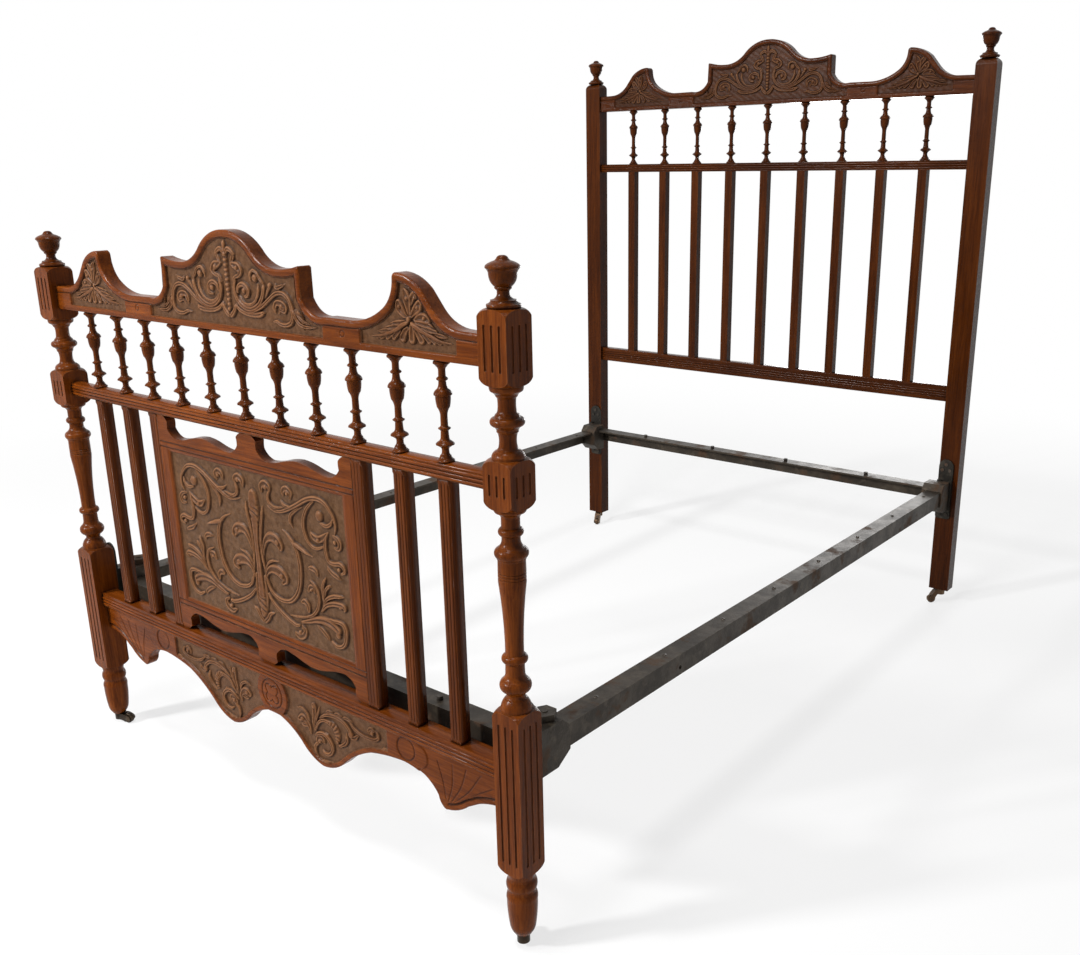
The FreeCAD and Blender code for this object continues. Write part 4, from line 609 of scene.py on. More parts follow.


# %% [markdown]
# ## The crest rails
# Both crest rails have the same carving: scrolls either side of a beaded stem under the dome, and
# a palmette in each ear. A moulded border follows the top edge, and the plain squares between
# stay flush. The head's rail is the same board in a duller wood, painted darker as shade.

# %% The scrolls of the crest, for its right half
# A stroke is its kind and its height, and then the X, the Z and the half width of each of its
# points. A boss is its X, its Z, its radius and its height. All are in millimetres.
CREST_STROKES = [
    ("bars", 4, 0, 43, 4.2, 0, 80, 5.2, 0, 120, 5.4, 0, 146, 6),
    ("vein", 3.9, 4, 143, 3, 10, 150, 5, 19, 148, 5, 27, 142, 3),
    ("dish", 3.8, 26, 143, 2.5, 22, 134, 5, 17, 126, 3),
    ("round", 3.6, 0, 148, 5, 0, 158, 5, 0, 167, 1.2),
    ("vein", 3.8, 0, 29, 2, 6, 33, 5.5, 14, 40, 5, 19, 48, 4, 24, 54, 1),
    ("dish", 4.2, 16, 124.6, 3, 25.6, 122.2, 7, 35.1, 119.1, 9, 42.2, 112, 7, 37, 104.9, 4.5,
        23.7, 100.1, 3.5, 17.2, 90.6, 2),
    ("vein", 4, 106.5, 95.3, 1.5, 107, 84.6, 4, 101.8, 70.3, 5, 91, 57.2, 5.5, 75.6, 48.9, 5.5, 58.9, 46, 5,
        42.2, 50.1, 5, 29.1, 59.6, 5, 22, 72.7, 4.5, 20.8, 84.6, 4, 24.4, 95.3, 3),
    ("vein", 3.8, 29.1, 75.1, 3, 32.7, 84.6, 4.5, 43.4, 89.4, 5.5, 54.1, 86.5, 5.5, 60.8, 78.7, 5.2,
        57.7, 70.3, 4.5, 49.9, 68, 3),
    ("vein", 3.4, 32.7, 66.8, 2, 42.2, 57.2, 3.2, 56.5, 53.7, 3.5, 73.2, 57, 3.5, 84.6, 66.8, 3.6,
        90.3, 79.9, 3.6, 89.9, 91.8, 2),
    ("vein", 3.8, 69.6, 97.7, 2, 71.3, 108.4, 3.5, 79.1, 115.1, 3.5, 90.3, 112, 3.5, 98.2, 102.5, 4,
        105.3, 95.3, 3),
    ("vein", 3.9, 44.6, 41.3, 2, 66, 42.2, 3.5, 87.5, 48.9, 4.2, 106.5, 58.4, 4.5, 123.2, 69.1, 4.5,
        139.9, 78, 4.8, 154.1, 80.3, 4.8, 167.2, 77, 4.8, 176.8, 68, 4.8, 182.7, 53.7, 5, 183.2, 40.6, 5,
        176.8, 29.9, 5, 163.7, 25.1, 4.8, 149.4, 25.6, 4.2, 137.5, 29.9, 3.5, 126.8, 28.7, 1.5),
    ("vein", 3.8, 20.8, 53.7, 2, 26.8, 46.5, 4, 38.7, 40.6, 4.5, 55.3, 37, 4.5, 75.6, 36.5, 5,
        88.7, 38.2, 6, 99.4, 41.3, 4, 101.8, 43, 1),
    ("dish", 4, 133.9, 44.1, 2, 133.9, 54.9, 5, 139.9, 62, 6, 151.8, 62, 7, 162.5, 57.2, 6,
        161.3, 48.9, 4.5, 149.4, 50.1, 3, 143.4, 44.1, 1.5),
    ("vein", 3.5, 108.9, 69.1, 2, 117.2, 79.9, 3.2, 125.6, 89.9, 3.5),
    ("dish", 3.6, 139.4, 95.3, 1.5, 142.7, 88.9, 4, 153, 90.6, 4, 166, 95.3, 1.2),
    ("vein", 3.8, 182.2, 58.4, 2, 187.5, 46.5, 4.2, 195.1, 34.6, 4.6, 207, 28, 4.2, 223.2, 26, 3.4,
        244.6, 27.5, 1),
    ("vein", 3.5, 189.4, 53.7, 1.5, 199.4, 43, 3.6, 212.5, 34.6, 3.4, 226.8, 30.8, 1.2),
    ("round", 3.4, 194.6, 53.7, 1.2, 199.4, 48.9, 3, 206.5, 44.1, 1.2),
]
CREST_BOSSES = [
    (83.9, 102.5, 8, 4.3), (49.9, 78.7, 6.5, 4.2), (153, 56.8, 6, 4.1), (125.6, 91.8, 5.2, 4),
    (0, 141, 5, 4.2), (32.7, 118, 5, 4.4), (95.8, 39.9, 3.5, 3.8)
]

# %% The palmette of the right ear
EAR_STROKES = [
    ("round", 4.1, 472, 54, 3, 460, 49, 4.5, 446, 41, 4, 428, 34, 3.5, 408, 28.6, 3, 384, 25.6, 1),
    ("round", 4.1, 480, 53, 3, 492, 47, 5, 508, 41, 4, 524, 36, 3.5, 542, 30, 3, 566, 28, 1),
    ("dish", 4, 480, 48, 5, 480, 38, 8, 480, 28.4, 8.3),
    ("dish", 4, 470, 44, 4, 464, 38, 6.5, 459, 29.4, 8.3),
    ("dish", 4, 490, 42, 4, 495, 36, 6.5, 501, 28.8, 8),
    ("dish", 3.8, 452, 39, 3, 445, 34, 5, 438.4, 28.4, 5.5),
    ("dish", 3.7, 436, 34, 2.5, 429, 30, 4.5, 422.4, 26.8, 4.5),
    ("dish", 3.6, 422, 31, 2, 414, 27.6, 3.8, 407.4, 25.4, 3.5),
    ("dish", 3.5, 410, 28.4, 1.5, 403, 26, 3, 397, 24.4, 2.5),
    ("dish", 3.8, 506, 38, 3, 513, 33, 5, 518, 28.4, 5),
    ("dish", 3.7, 520, 34, 2.5, 525, 31, 4.5, 530, 27.8, 4.5),
    ("dish", 3.6, 532, 31, 2, 538, 28.4, 3.8, 542, 26.4, 3),
    ("dish", 3.5, 544, 29, 1.5, 550, 27.8, 3, 556, 26.8, 2),
    ("dish", 3.9, 467, 55.6, 2.5, 457, 52.4, 5, 446, 51, 5, 433, 49.6, 2),
    ("dish", 3.8, 456, 48, 2, 442, 45, 4.5, 430, 42.6, 4.5, 417, 41, 1.5),
    ("dish", 3.7, 438, 40.4, 2, 424, 38, 4, 412, 36, 3.6, 399.6, 34.6, 1.2),
    ("dish", 4, 490, 59.6, 4, 499, 62.4, 8, 509, 62.8, 9, 517.6, 60.4, 5),
    ("dish", 3.8, 490, 55, 3, 506, 53, 5, 519, 52, 5, 529, 48.4, 2),
    ("dish", 3.8, 504, 49, 3, 520, 45, 4.5, 533, 43.6, 3.5),
    ("dish", 3.6, 528, 41, 2, 542, 38.6, 4, 554.4, 37.4, 2.5),
    ("dish", 4, 469.6, 62, 3, 461.6, 68.4, 8, 454.4, 76.4, 10, 452.6, 83.6, 6),
    ("dish", 4.1, 477, 64.4, 2.5, 474.4, 78, 7, 472.8, 89.6, 10, 470, 99, 7, 465.6, 105.6, 2),
    ("dish", 3.9, 480, 82, 3, 484, 91.6, 6.5, 488.4, 99, 5, 491.4, 93.4, 3),
    ("dish", 4, 480, 63.6, 3, 488, 71.6, 7, 495, 77.6, 10, 499.4, 84.6, 7),
]
EAR_BOSSES = [
    (474, 59, 5, 4.4), (509, 62.8, 4, 4.2), (454.4, 77.6, 4, 4.2), (495.2, 78.4, 4, 4.2),
    (472.6, 91, 4, 4.3)
]
GROUNDS = ((-264, 264), (357, 578), (-578, -357))      # where the ground is sunk, in X
ROLL, GROUND_LOW = 13.0, 11.0                          # width of the border, and of the flat strip below
CREST_STEEP = ((193, 218, 0.45), (437, 467, 0.55))     # where the outline falls steeply
PLUG_X, PLUG_UP, PLUG_RADIUS = 314, 24, 5.4            # the round plug in each plain square


# %% Build a crest rail
def crest(name, node, end, material):
    low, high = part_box(node)
    reach = inner_face(end)
    columns = mirrored_columns(reach, 1.5, *CREST_STEEP)
    inside = np.clip(columns, -reach + 0.0004, reach - 0.0004)
    top = outline(node, inside, (low.y + high.y) / 2 + 0.006, True)
    bottom = np.full(len(columns), low.z)
    floor_mm = low.z / MM
    shapes = mirrored(CREST_STROKES + EAR_STROKES, CREST_BOSSES + EAR_BOSSES)

    def sunken(x, z):
        edge = distance_to(x * MM, z * MM, columns, top)
        up = z - floor_mm
        window = np.zeros(x.shape)
        for left, right in GROUNDS:
            window = np.maximum(window, smooth(x, left, left + 1.6) * smooth(-x, -right, -right + 1.6))
        above = smooth(up, GROUND_LOW, GROUND_LOW + 1.6)
        sunk = window * smooth(edge, ROLL + 0.6, ROLL + 2.2) * above
        relief = carve(x, up, *shapes) * sunk
        across = np.clip((edge - ROLL / 2) / (ROLL / 2), -1, 1)
        roll = 3.0 * (1 - np.sqrt(1 - across ** 2)) * (edge < ROLL)
        roll = roll + 1.3 * bump_at(edge - ROLL - 0.2, 0.8) * (edge >= ROLL)
        foot_round = 1.2 - np.sqrt(np.clip(1.2 ** 2 - np.clip(1.2 - up, 0, 1.2) ** 2, 0, None))
        from_plug = np.hypot(np.abs(x) - PLUG_X, up - PLUG_UP)
        plug = 1.2 * bump_at(from_plug - PLUG_RADIUS, 0.9)
        wavy = 0.25 * np.sin(x * 0.31 + z * 0.12) * np.sin(z * 0.27 - x * 0.05) * sunk
        grooves = 1.8 * bump_at(edge - ROLL - 0.2, 0.9) * (1 - sunk) + plug
        depth = roll + foot_round + SINK * sunk - relief + plug + wavy
        return depth, relief / SINK, sunk, grooves

    piece = carved_board(name, columns, bottom, top, low.y, high.y, sunken)
    return finished(piece, material, "polished_wood", node)


crest("foot_crest_board", "foot_crest_rail", "foot", carved_wood)
crest("head_crest_board", "head_crest_rail", "head", head_wood)

# %% [markdown]
# ## The carved panel
# The panel's field is sunk between plain margins. Its carving grows from a torch in the middle,
# smooth in its stem and twisted where it swells: two big spirals below, two above, and small
# curls that fill the corners.

# %% The panel's scrolls, for its right half, in X and height above the floor
PANEL_STROKES = [
    ("round", 5.2, 0, 534, 8, 0, 566, 7.5, 0, 600, 7.5, 0, 630, 9, 0, 652, 11),
    ("twist", 5.4, 0, 626, 8, 0, 655, 13.5, 0, 680, 16.5, 0, 699, 16),
    ("round", 5, 0, 692, 16, 0, 704, 13, 0, 712, 3),
    ("twist", 4.6, 0, 461, 13, 0, 482, 14.5, 0, 508, 13),
    ("round", 4.6, 0, 500, 12, 0, 530, 9.5, 0, 552, 8),
    ("vein", 3.8, 0, 438, 2, 5, 444, 6, 13, 451, 6, 21, 462, 5, 33, 467, 1.5),
    ("vein", 3.8, 27, 687, 1.5, 24, 668, 4, 18, 645, 4.5, 13, 620, 4.5, 12, 596, 4, 15, 570, 3.5,
        20, 545, 2),
    ("vein", 3.4, 11, 470, 2, 15, 492, 4, 15, 515, 4, 13, 540, 3),
    ("dish", 4.4, 15.3, 582.9, 2.5, 20.2, 601.4, 4.5, 29.8, 619.2, 7.5, 45.2, 628.1, 10.5,
        61.4, 625.5, 12.5, 73.3, 614.8, 9, 72.4, 607, 3),
    ("vein", 3.4, 13.4, 571.8, 1.5, 17, 597.7, 2.6, 25.1, 620.7, 3, 39.3, 634.8, 3, 56.3, 639.2, 1.5),
    ("dish", 4.4, 18.4, 534.8, 3, 23.8, 548.9, 5, 37.1, 560, 9, 54.3, 562.2, 12, 71, 557, 12.5,
        81.5, 547.7, 8.5, 71.7, 539.2, 4),
    ("vein", 3.4, 17.8, 547.7, 1.5, 26.5, 567.4, 3, 42, 578.1, 3.2, 61.4, 581.1, 1.5),
    ("vein", 4.1, 83, 650.3, 1.2, 103.3, 641.4, 3, 119.9, 625.5, 5, 128.7, 601.4, 6, 129.7, 571.8, 6.3,
        122.6, 542.2, 6.3, 108.6, 520.7, 6, 89.9, 506.6, 5.5, 67.4, 502.2, 5, 45.5, 506.6, 4.5,
        31.3, 516.3, 4, 23, 531.1, 3.5, 19.6, 547.7, 2),
    ("round", 3.8, 108.9, 632.9, 2, 127.4, 626.6, 5.5, 149.1, 620, 4, 169.1, 613.3, 1),
    ("vein", 4, 44.1, 690.3, 1.5, 60.7, 685.9, 3, 83, 686.6, 4, 108.9, 695.9, 5, 138.5, 710.7, 5.5,
        164.4, 724.4, 5.5, 190.4, 731.8, 5.5, 214.4, 729.2, 5, 231.1, 717, 3.8, 242.2, 701.4, 3.6,
        244.1, 684.8, 3, 238.5, 671.1, 1.2),
    ("vein", 3.8, 184.8, 725.5, 3, 166.3, 708.9, 4.5, 154.1, 688.5, 5, 151.5, 668.1, 5, 157, 649.6, 4.5,
        168.1, 637.7, 4, 183, 634, 4, 199.6, 639.2, 3, 208.9, 645.9, 1.5),
    ("dish", 4, 170, 662.6, 2, 179.3, 655.1, 7, 192.2, 653.3, 8, 207, 660, 7, 218.1, 670, 2.5),
    ("vein", 3.6, 236.7, 701.4, 2, 231.1, 690.3, 4, 218.1, 684, 4.5, 203.3, 686.6, 3),
    ("vein", 3.6, 117, 660, 1.5, 111.9, 673.7, 4, 116.3, 686.6, 4.5, 131.1, 697.7, 3.5, 149.6, 707, 1.5),
    ("dish", 4, 29.3, 717, 3, 30.4, 728.1, 7, 41.5, 734.8, 8.5, 53.3, 731.1, 6, 55.2, 722.9, 3),
    ("vein", 3.8, 53.3, 720.7, 3, 48.9, 708.9, 4.5, 52.6, 698.5, 4.5, 66.3, 692.2, 4, 86.7, 694.8, 2.5,
        103.3, 699.6, 1),
    ("dish", 3.8, 95.9, 720.7, 2.5, 97.8, 731.1, 6, 108.9, 735.9, 7, 120, 728.9, 5, 117, 718.1, 3),
    ("vein", 3.6, 86.7, 708.9, 1.5, 99.6, 701.4, 4, 120, 700.7, 3, 131.1, 703.3, 1),
    ("dish", 3.8, 233, 668.1, 2, 245.2, 665.5, 5, 252.6, 657, 6, 248.9, 646.6, 5, 238.5, 645.9, 3),
    ("vein", 3.8, 220, 671.8, 2, 212.6, 655.1, 4, 210.7, 634.8, 5, 217.5, 617, 4.5, 232.1, 614, 5,
        248.2, 616.6, 5.5, 259, 611.8, 5, 259.9, 603.3, 4, 250.7, 598.5, 2.5),
    ("dish", 3.7, 209.3, 605.9, 1.5, 221.7, 595.9, 5, 236.1, 590.3, 5, 246.9, 585.9, 1.5),
    ("dish", 3.8, 154.6, 589.6, 2, 165.8, 590.7, 6, 176.6, 586.6, 5, 179.7, 577.4, 2),
    ("vein", 3.8, 192.4, 527.4, 2, 193.6, 545.9, 4.5, 193.4, 560.7, 5, 200, 575.5, 3, 202.9, 581.1, 1),
    ("vein", 3.5, 195.7, 538.5, 2, 201.2, 555.1, 4, 210.4, 564.4, 4, 216, 565.1, 1.5),
    ("vein", 3.8, 188.9, 520, 2, 203.1, 537.7, 4.5, 222.2, 547.7, 5, 241, 551.4, 4, 251.4, 552.2, 1),
    ("vein", 4, 184.5, 508.9, 2.5, 199.2, 523.7, 5, 217.5, 531.8, 6, 234.4, 534.8, 6.5, 248.1, 534.8, 6,
        253.7, 530.3, 4, 249.6, 524.4, 2),
    ("vein", 3.8, 133, 484.8, 2, 155.7, 493.3, 4, 171.6, 508.9, 4.5, 179.4, 527.4, 4.5, 177.7, 545.9, 4,
        169.2, 557.7, 3.5, 154.8, 564.4, 1.5),
    ("dish", 3.8, 149.6, 541.4, 3, 155.8, 550.7, 6, 165, 551.1, 5, 166.3, 542.2, 3),
    ("dish", 4, 127.5, 514.4, 4, 135, 516.3, 7, 143.8, 510, 6, 145, 499.6, 4),
    ("vein", 4, 21.3, 505.1, 3, 37, 489.6, 4.5, 58.3, 476.3, 5, 79.9, 466.3, 5, 99.9, 460, 4.5,
        109.9, 460.7, 3),
    ("dish", 4, 96.9, 442.2, 3, 109.5, 437.7, 7, 124, 444, 7, 128.4, 455.1, 5, 120.4, 461.8, 3),
    ("vein", 4.2, 121, 471.1, 3, 143.7, 478.5, 5.5, 168.3, 487.4, 8, 192.6, 491.1, 10, 214.6, 487.7, 10.5,
        229, 480.3, 9),
    ("vein", 4, 189.2, 495.9, 3, 219, 498.1, 4, 242.3, 497.7, 5, 251.6, 486.6, 5.5, 249.2, 466.3, 5.5,
        239, 452.2, 5, 223.1, 447.4, 4.5, 208.7, 453.3, 3),
    ("dish", 3.7, 165.7, 475.5, 2, 180.1, 470, 5, 194.4, 460.7, 5, 199.4, 453.3, 2),
    ("vein", 3.4, 84.2, 475.5, 1.5, 110.4, 479.2, 3, 136.7, 484.8, 3, 159.6, 495.9, 2),
]
PANEL_BOSSES = [
    (199.6, 699.6, 11, 4.3), (239.3, 657, 5, 4), (245.3, 605.9, 5, 4), (241.5, 530.3, 4.5, 4),
    (228.4, 471.1, 7, 4.4), (44.4, 728.1, 6, 4.2), (110, 726.6, 5, 4), (191.1, 651.4, 6, 4.1),
    (64.8, 620.7, 7, 4.6), (68.8, 552.6, 7, 4.6), (112, 446.6, 5.5, 4.2), (158.4, 545.9, 4, 4),
    (0, 714, 4, 3.4)
]
PANEL_FOOT, PANEL_HEAD = 426.0, 751.0                  # where the sunk field ends, above the floor


# %% Build the panel
def panel():
    low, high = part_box("carved_panel")
    columns = np.arange(low.x, high.x + 1e-6, 1.3 * MM)
    columns[-1] = high.x
    shapes = mirrored(PANEL_STROKES, PANEL_BOSSES)

    def sunken(x, z):
        inside = np.minimum(PANEL_SIDE / MM - np.abs(x), np.minimum(z - PANEL_FOOT, PANEL_HEAD - z))
        sunk = smooth(inside, 0, 2.0)
        relief = carve(x, z, *shapes) * sunk
        bevel = 1.4 * smooth(inside, -6.5, -1.0) * (1 - sunk)
        margin = np.minimum(z - low.z / MM, high.z / MM - z)
        line = 2.2 * bump_at(margin - 1.6, 1.3) + 1.7 * bump_at(margin - 12.6, 1.1)
        wavy = 0.25 * np.sin(x * 0.23 + z * 0.11) * np.sin(z * 0.21 - x * 0.07) * sunk
        return SINK * sunk + bevel + line - relief + wavy, relief / SINK, sunk, line

    level = np.ones(len(columns))
    piece = carved_board("carved_panel_board", columns, level * low.z, level * high.z,
                         low.y, high.y, sunken, rows=250)
    return finished(piece, panel_wood, "polished_wood", "carved_panel")


panel()

# %% [markdown]
# ## The apron
# Under its reeded band the apron is a shaped board: a round boss in the middle with a four-leaved
# flower, scrolls in the two pendants, an oval tab with a disc, and a bracket at each post with a
# moulded lower edge.

# %% The apron's scrolls, right half, in X and height above the floor
APRON_STROKES = [
    ("dish", 4.2, 115.1, 229.2, 2.5, 113.1, 243.1, 5, 105.3, 253.3, 8, 94.2, 257.8, 10, 83.1, 253.3, 6),
    ("dish", 3.7, 87.3, 245, 2, 95.6, 243.1, 5, 105.9, 245, 4, 110.9, 252.2, 2),
    ("vein", 3.7, 77.6, 275, 1.5, 91.4, 278.9, 3.5, 102.6, 275, 4, 110.9, 266.7, 4, 113.7, 253.3, 2),
    ("dish", 4, 128.9, 241.7, 2, 127.6, 258.3, 4, 131.7, 275, 6, 132.6, 291.7, 8, 130.3, 298.6, 4),
    ("vein", 3.5, 147.6, 297.2, 1.5, 143.1, 283.3, 3.2, 136.4, 268.1, 3.4, 130.9, 254.2, 2),
    ("vein", 4.1, 131.7, 241.7, 2, 137.3, 254.2, 3.5, 147.6, 266.7, 4, 162.3, 273.6, 4.5, 177.6, 273.6, 6),
    ("ribs", 4.2, 174.8, 273.9, 5.5, 186.4, 270, 8, 195.6, 262.5, 9, 199.8, 252.2, 8.5, 198.4, 241.7, 5.5,
        195.6, 234.7, 2.5),
    ("vein", 3.8, 226.2, 265.3, 2, 227.6, 252.8, 4.5, 220.6, 241.7, 5, 206.7, 232.5, 3.5,
        198.4, 231.4, 1.5),
    ("vein", 4, 147, 273.6, 2, 163.7, 284.7, 4, 183.1, 291.1, 5, 202.6, 292.5, 5, 220.6, 288.9, 5,
        234.5, 279.2, 5, 241.4, 269.4, 5),
    ("dish", 3.8, 242.8, 261.7, 4, 252.6, 265, 5, 259.5, 272.2, 2.5),
    ("dish", 3.6, 166.4, 290.3, 2, 176.2, 297.2, 4, 186.4, 297.2, 2.5),
    ("dish", 3.6, 191.4, 295, 2, 202.6, 299.4, 4, 213.7, 298.3, 2.5),
    ("dish", 3.6, 217.8, 295.8, 2, 228.9, 299.4, 4, 238.7, 297.8, 3.5, 245.6, 296.7, 1.5),
    ("vein", 3.7, 238.7, 295.8, 2, 251.2, 285.6, 4, 269.2, 280, 4, 290.1, 278.6, 4.2, 309.5, 281.1, 4.5,
        319.8, 287.5, 4, 317.8, 295.8, 3, 310.9, 299.4, 1.5),
    ("dish", 3.7, 294.2, 287.5, 2, 293.7, 295.8, 4, 301.2, 300.8, 5, 308.1, 298.1, 3),
    ("vein", 3.4, 327, 266.1, 1.5, 336.4, 271.7, 3, 348.7, 270.6, 1),
    ("vein", 3.8, 131.7, 182.8, 1.5, 126.2, 194.4, 3.5, 127.6, 206.9, 4.5, 135.9, 215.3, 4),
    ("vein", 4, 127.6, 229.2, 2, 138.7, 237.5, 4, 153.9, 241.7, 5, 169.2, 236.7, 5.5, 179.8, 225, 5.5,
        179.8, 212.5, 5, 170.6, 201.4, 4.5, 158.1, 198.6, 4, 148.4, 202.8, 2),
    ("dish", 4, 133.1, 217.2, 3, 138.7, 227.2, 7, 149.8, 228.6, 7, 154.8, 221.7, 3),
    ("round", 3.4, 160.9, 245.8, 1.5, 167.8, 242.8, 3, 172.6, 238.3, 1.5),
    ("round", 3.4, 142.8, 179.2, 1, 158.1, 181.4, 3.4, 177.6, 186.1, 1),
]
APRON_BOSSES = [
    (142.8, 221.7, 6, 4.4), (240.1, 267.5, 8, 4.3), (303.1, 292.5, 5.5, 4.1), (92, 255, 6, 4.4),
    (132.3, 293.9, 5, 4.2)
]

# The cuts that fan out over each bracket.
FAN_CUTS = [
    ("round", 1.7, 494, 226, 1.3, 488, 262, 1.5, 476, 298, 1.3),
    ("round", 1.7, 500, 224, 1.3, 512, 262, 1.5, 514, 302, 1.3),
    ("round", 1.7, 505, 222, 1.3, 532, 262, 1.5, 548, 304, 1.3),
    ("round", 1.7, 508, 221, 1.3, 550, 260, 1.5, 582, 304, 1.3),
    ("round", 1.7, 512, 221, 1.3, 562, 258, 1.5, 608, 288, 1.3),
]
BOSS_Z, BOSS_RADIUS = 282, 32                          # the flower's round boss, in the middle
DISC_X, DISC_Z, DISC_RADIUS = 397, 294, 22.5           # the disc on the tab
ARC_X, ARC_Z, ARC_RADIUS = 428, 290, 24.0              # the arc at which a bracket begins
BAND_LOW = 0.320                                       # under the reeded band
ARRIS = 3.0                                            # how far the lower edge is rounded


# %% Build the apron board
def apron():
    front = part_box("foot_post_left")[0].y + 0.020
    back = front + 0.027
    reach = inner_face("foot")
    columns = mirrored_columns(reach, 1.4, (470, 490, 0.5))
    inside = np.clip(columns, -reach + 0.0005, reach - 0.0005)
    lower = outline("foot_apron_rail", inside, front + 0.012, False)
    shapes = mirrored(APRON_STROKES, APRON_BOSSES)

    def sunken(x, z):
        edge = distance_to(x * MM, z * MM, columns, lower)
        far = np.abs(x)
        from_boss = np.hypot(x, z - BOSS_Z)
        window = smooth(far, 28, 29.5) * smooth(-far, -347, -345) * smooth(from_boss, 47.5, 49)
        sunk = window * smooth(edge, 8.5, 10.5)
        relief = carve(x, z, *shapes) * sunk
        leaves = 13 + 11 * np.abs(np.sin(2 * np.arctan2(z - BOSS_Z, x)))
        flower = 2.0 * bump_at(from_boss - leaves, 1.5) * (from_boss < BOSS_RADIUS)
        ring = 2.2 * bump_at(from_boss - BOSS_RADIUS, 1.4)
        from_disc = np.hypot(far - DISC_X, z - DISC_Z)
        disc_ring = 2.2 * bump_at(from_disc - DISC_RADIUS, 1.5)
        disc = 1.0 * smooth(-from_disc, -21, -19)
        arc = ARC_X + np.sqrt(np.clip(ARC_RADIUS ** 2 - (z - ARC_Z) ** 2, 0, None))
        bracket = 2.2 * smooth(far - arc, 0, 1.3)
        moulding = 3.2 * bump_at(edge - 11.5, 2.0) * smooth(far, 494, 502)
        fan = carve(far, z, FAN_CUTS, []) * smooth(edge, 14, 20)
        corner = ARRIS - np.sqrt(ARRIS ** 2 - np.clip(ARRIS - edge, 0, ARRIS) ** 2)
        plain = 1 - sunk
        lines = flower + ring + disc_ring + moulding
        depth = corner + SINK * sunk - relief + (lines + disc + bracket + fan) * plain
        return depth, relief / SINK, sunk, (lines + 1.6 * fan) * plain * 0.7

    level = np.full(len(columns), BAND_LOW)
    piece = carved_board("apron_board", columns, lower, level, front, back, sunken, rows=110)
    return finished(piece, carved_wood, "polished_wood", "foot_apron_rail")


apron()

# %% [markdown]
# ## Reeded rails and slats
# A reeded face is a row of half-round beads, run along the piece with a moulding plane. Its
# section is drawn as points and drawn out along the piece, and the reeds of the slats stop short
# of their ends.


# %% Draw a section along a rail
REED_LIFT = 0.42        # the height of a reed, as a share of its width


def reeds(width, count):
    """A face of half-round beads: (place across, height) pairs from 0 to width, in millimetres."""
    pitch = width / count
    points = []
    for number in range(count):
        for step in np.linspace(-1, 1, 11):
            lift = math.sqrt(max(0.0, 1 - step * step)) * pitch * REED_LIFT
            points.append((pitch * (number + 0.5 + 0.5 * step), lift))
    return points


def drawn_rail(name, section, reach, material, *stands_for):
    """A rail from -reach to reach in X, with the closed section (y, z) in metres."""
    y, z = np.array(section).T
    run, y = np.meshgrid(np.linspace(-reach, reach, 12), y)
    piece = grid_mesh(name, run, y, np.repeat(z[:, None], run.shape[1], 1))
    bevel = piece.modifiers.new("soften", "BEVEL")
    bevel.width, bevel.segments = 0.0006, 2
    bevel.limit_method, bevel.angle_limit = "ANGLE", math.radians(55)
    return finished(piece, material, "polished_wood", *stands_for)


def rail_section(front, back, low, high, reeds_low, reeds_high, crown=0.0):
    """A closed section (y, z) with three reeds on its front; crown rounds its upper edges."""
    ground = front + 0.0010
    points = [(back, low), (front, low), (front, reeds_low - 0.0008), (ground, reeds_low - 0.0004)]
    for place, lift in reeds((reeds_high - reeds_low) / MM, 3):
        points.append((ground - lift * MM, reeds_low + place * MM))
    points += [(ground, reeds_high + 0.0004), (front, reeds_high + 0.0008)]
    if crown:
        points += [(front, high - crown), (front + 0.002, high - crown * 0.45),
                   (front + 0.006, high - 0.0008), (front + 0.011, high), (back - 0.006, high),
                   (back - 0.002, high - crown * 0.4), (back, high - crown)]
    else:
        points += [(front, high), (back, high)]
    return points[::-1]


# %% The rails
foot_reach, head_reach = inner_face("foot"), inner_face("head")
foot_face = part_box("foot_post_left")[0].y
low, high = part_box("foot_mid_rail")
section = rail_section(foot_face + 0.0165, foot_face + 0.043, low.z, high.z,
                       low.z + 0.001, low.z + 0.0215, crown=0.004)
drawn_rail("foot_middle_reeds", section, foot_reach, level_wood, "foot_mid_rail")
section = rail_section(foot_face + 0.0145, foot_face + 0.050, BAND_LOW, 0.351, 0.3210, 0.3440)
drawn_rail("apron_reeded_band", section, foot_reach, level_wood)
low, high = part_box("head_mid_rail")
section = rail_section(low.y + 0.001, high.y, low.z, high.z, low.z + 0.003, high.z - 0.003)
drawn_rail("head_middle_reeds", section, head_reach, head_level, "head_mid_rail")
low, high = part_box("head_low_rail")
section = rail_section(low.y + 0.001, high.y, low.z, high.z, low.z + 0.012, low.z + 0.033)
drawn_rail("head_low_reeds", section, head_reach, head_level, "head_low_rail")
print("reeded rails:", 4)

# %% The foot's slats and the panel's stiles
SLAT_LOW, SLAT_HIGH = 0.351, 0.8265     # between the apron and the middle rail
SLAT_INSET = 0.002                      # how far the ground between the reeds lies back
SLAT_EDGE = 0.0028                      # flat strip beside the reeds
SLAT_ENDS = (0, 0.006, 0.0085, 0.011, 0.014)


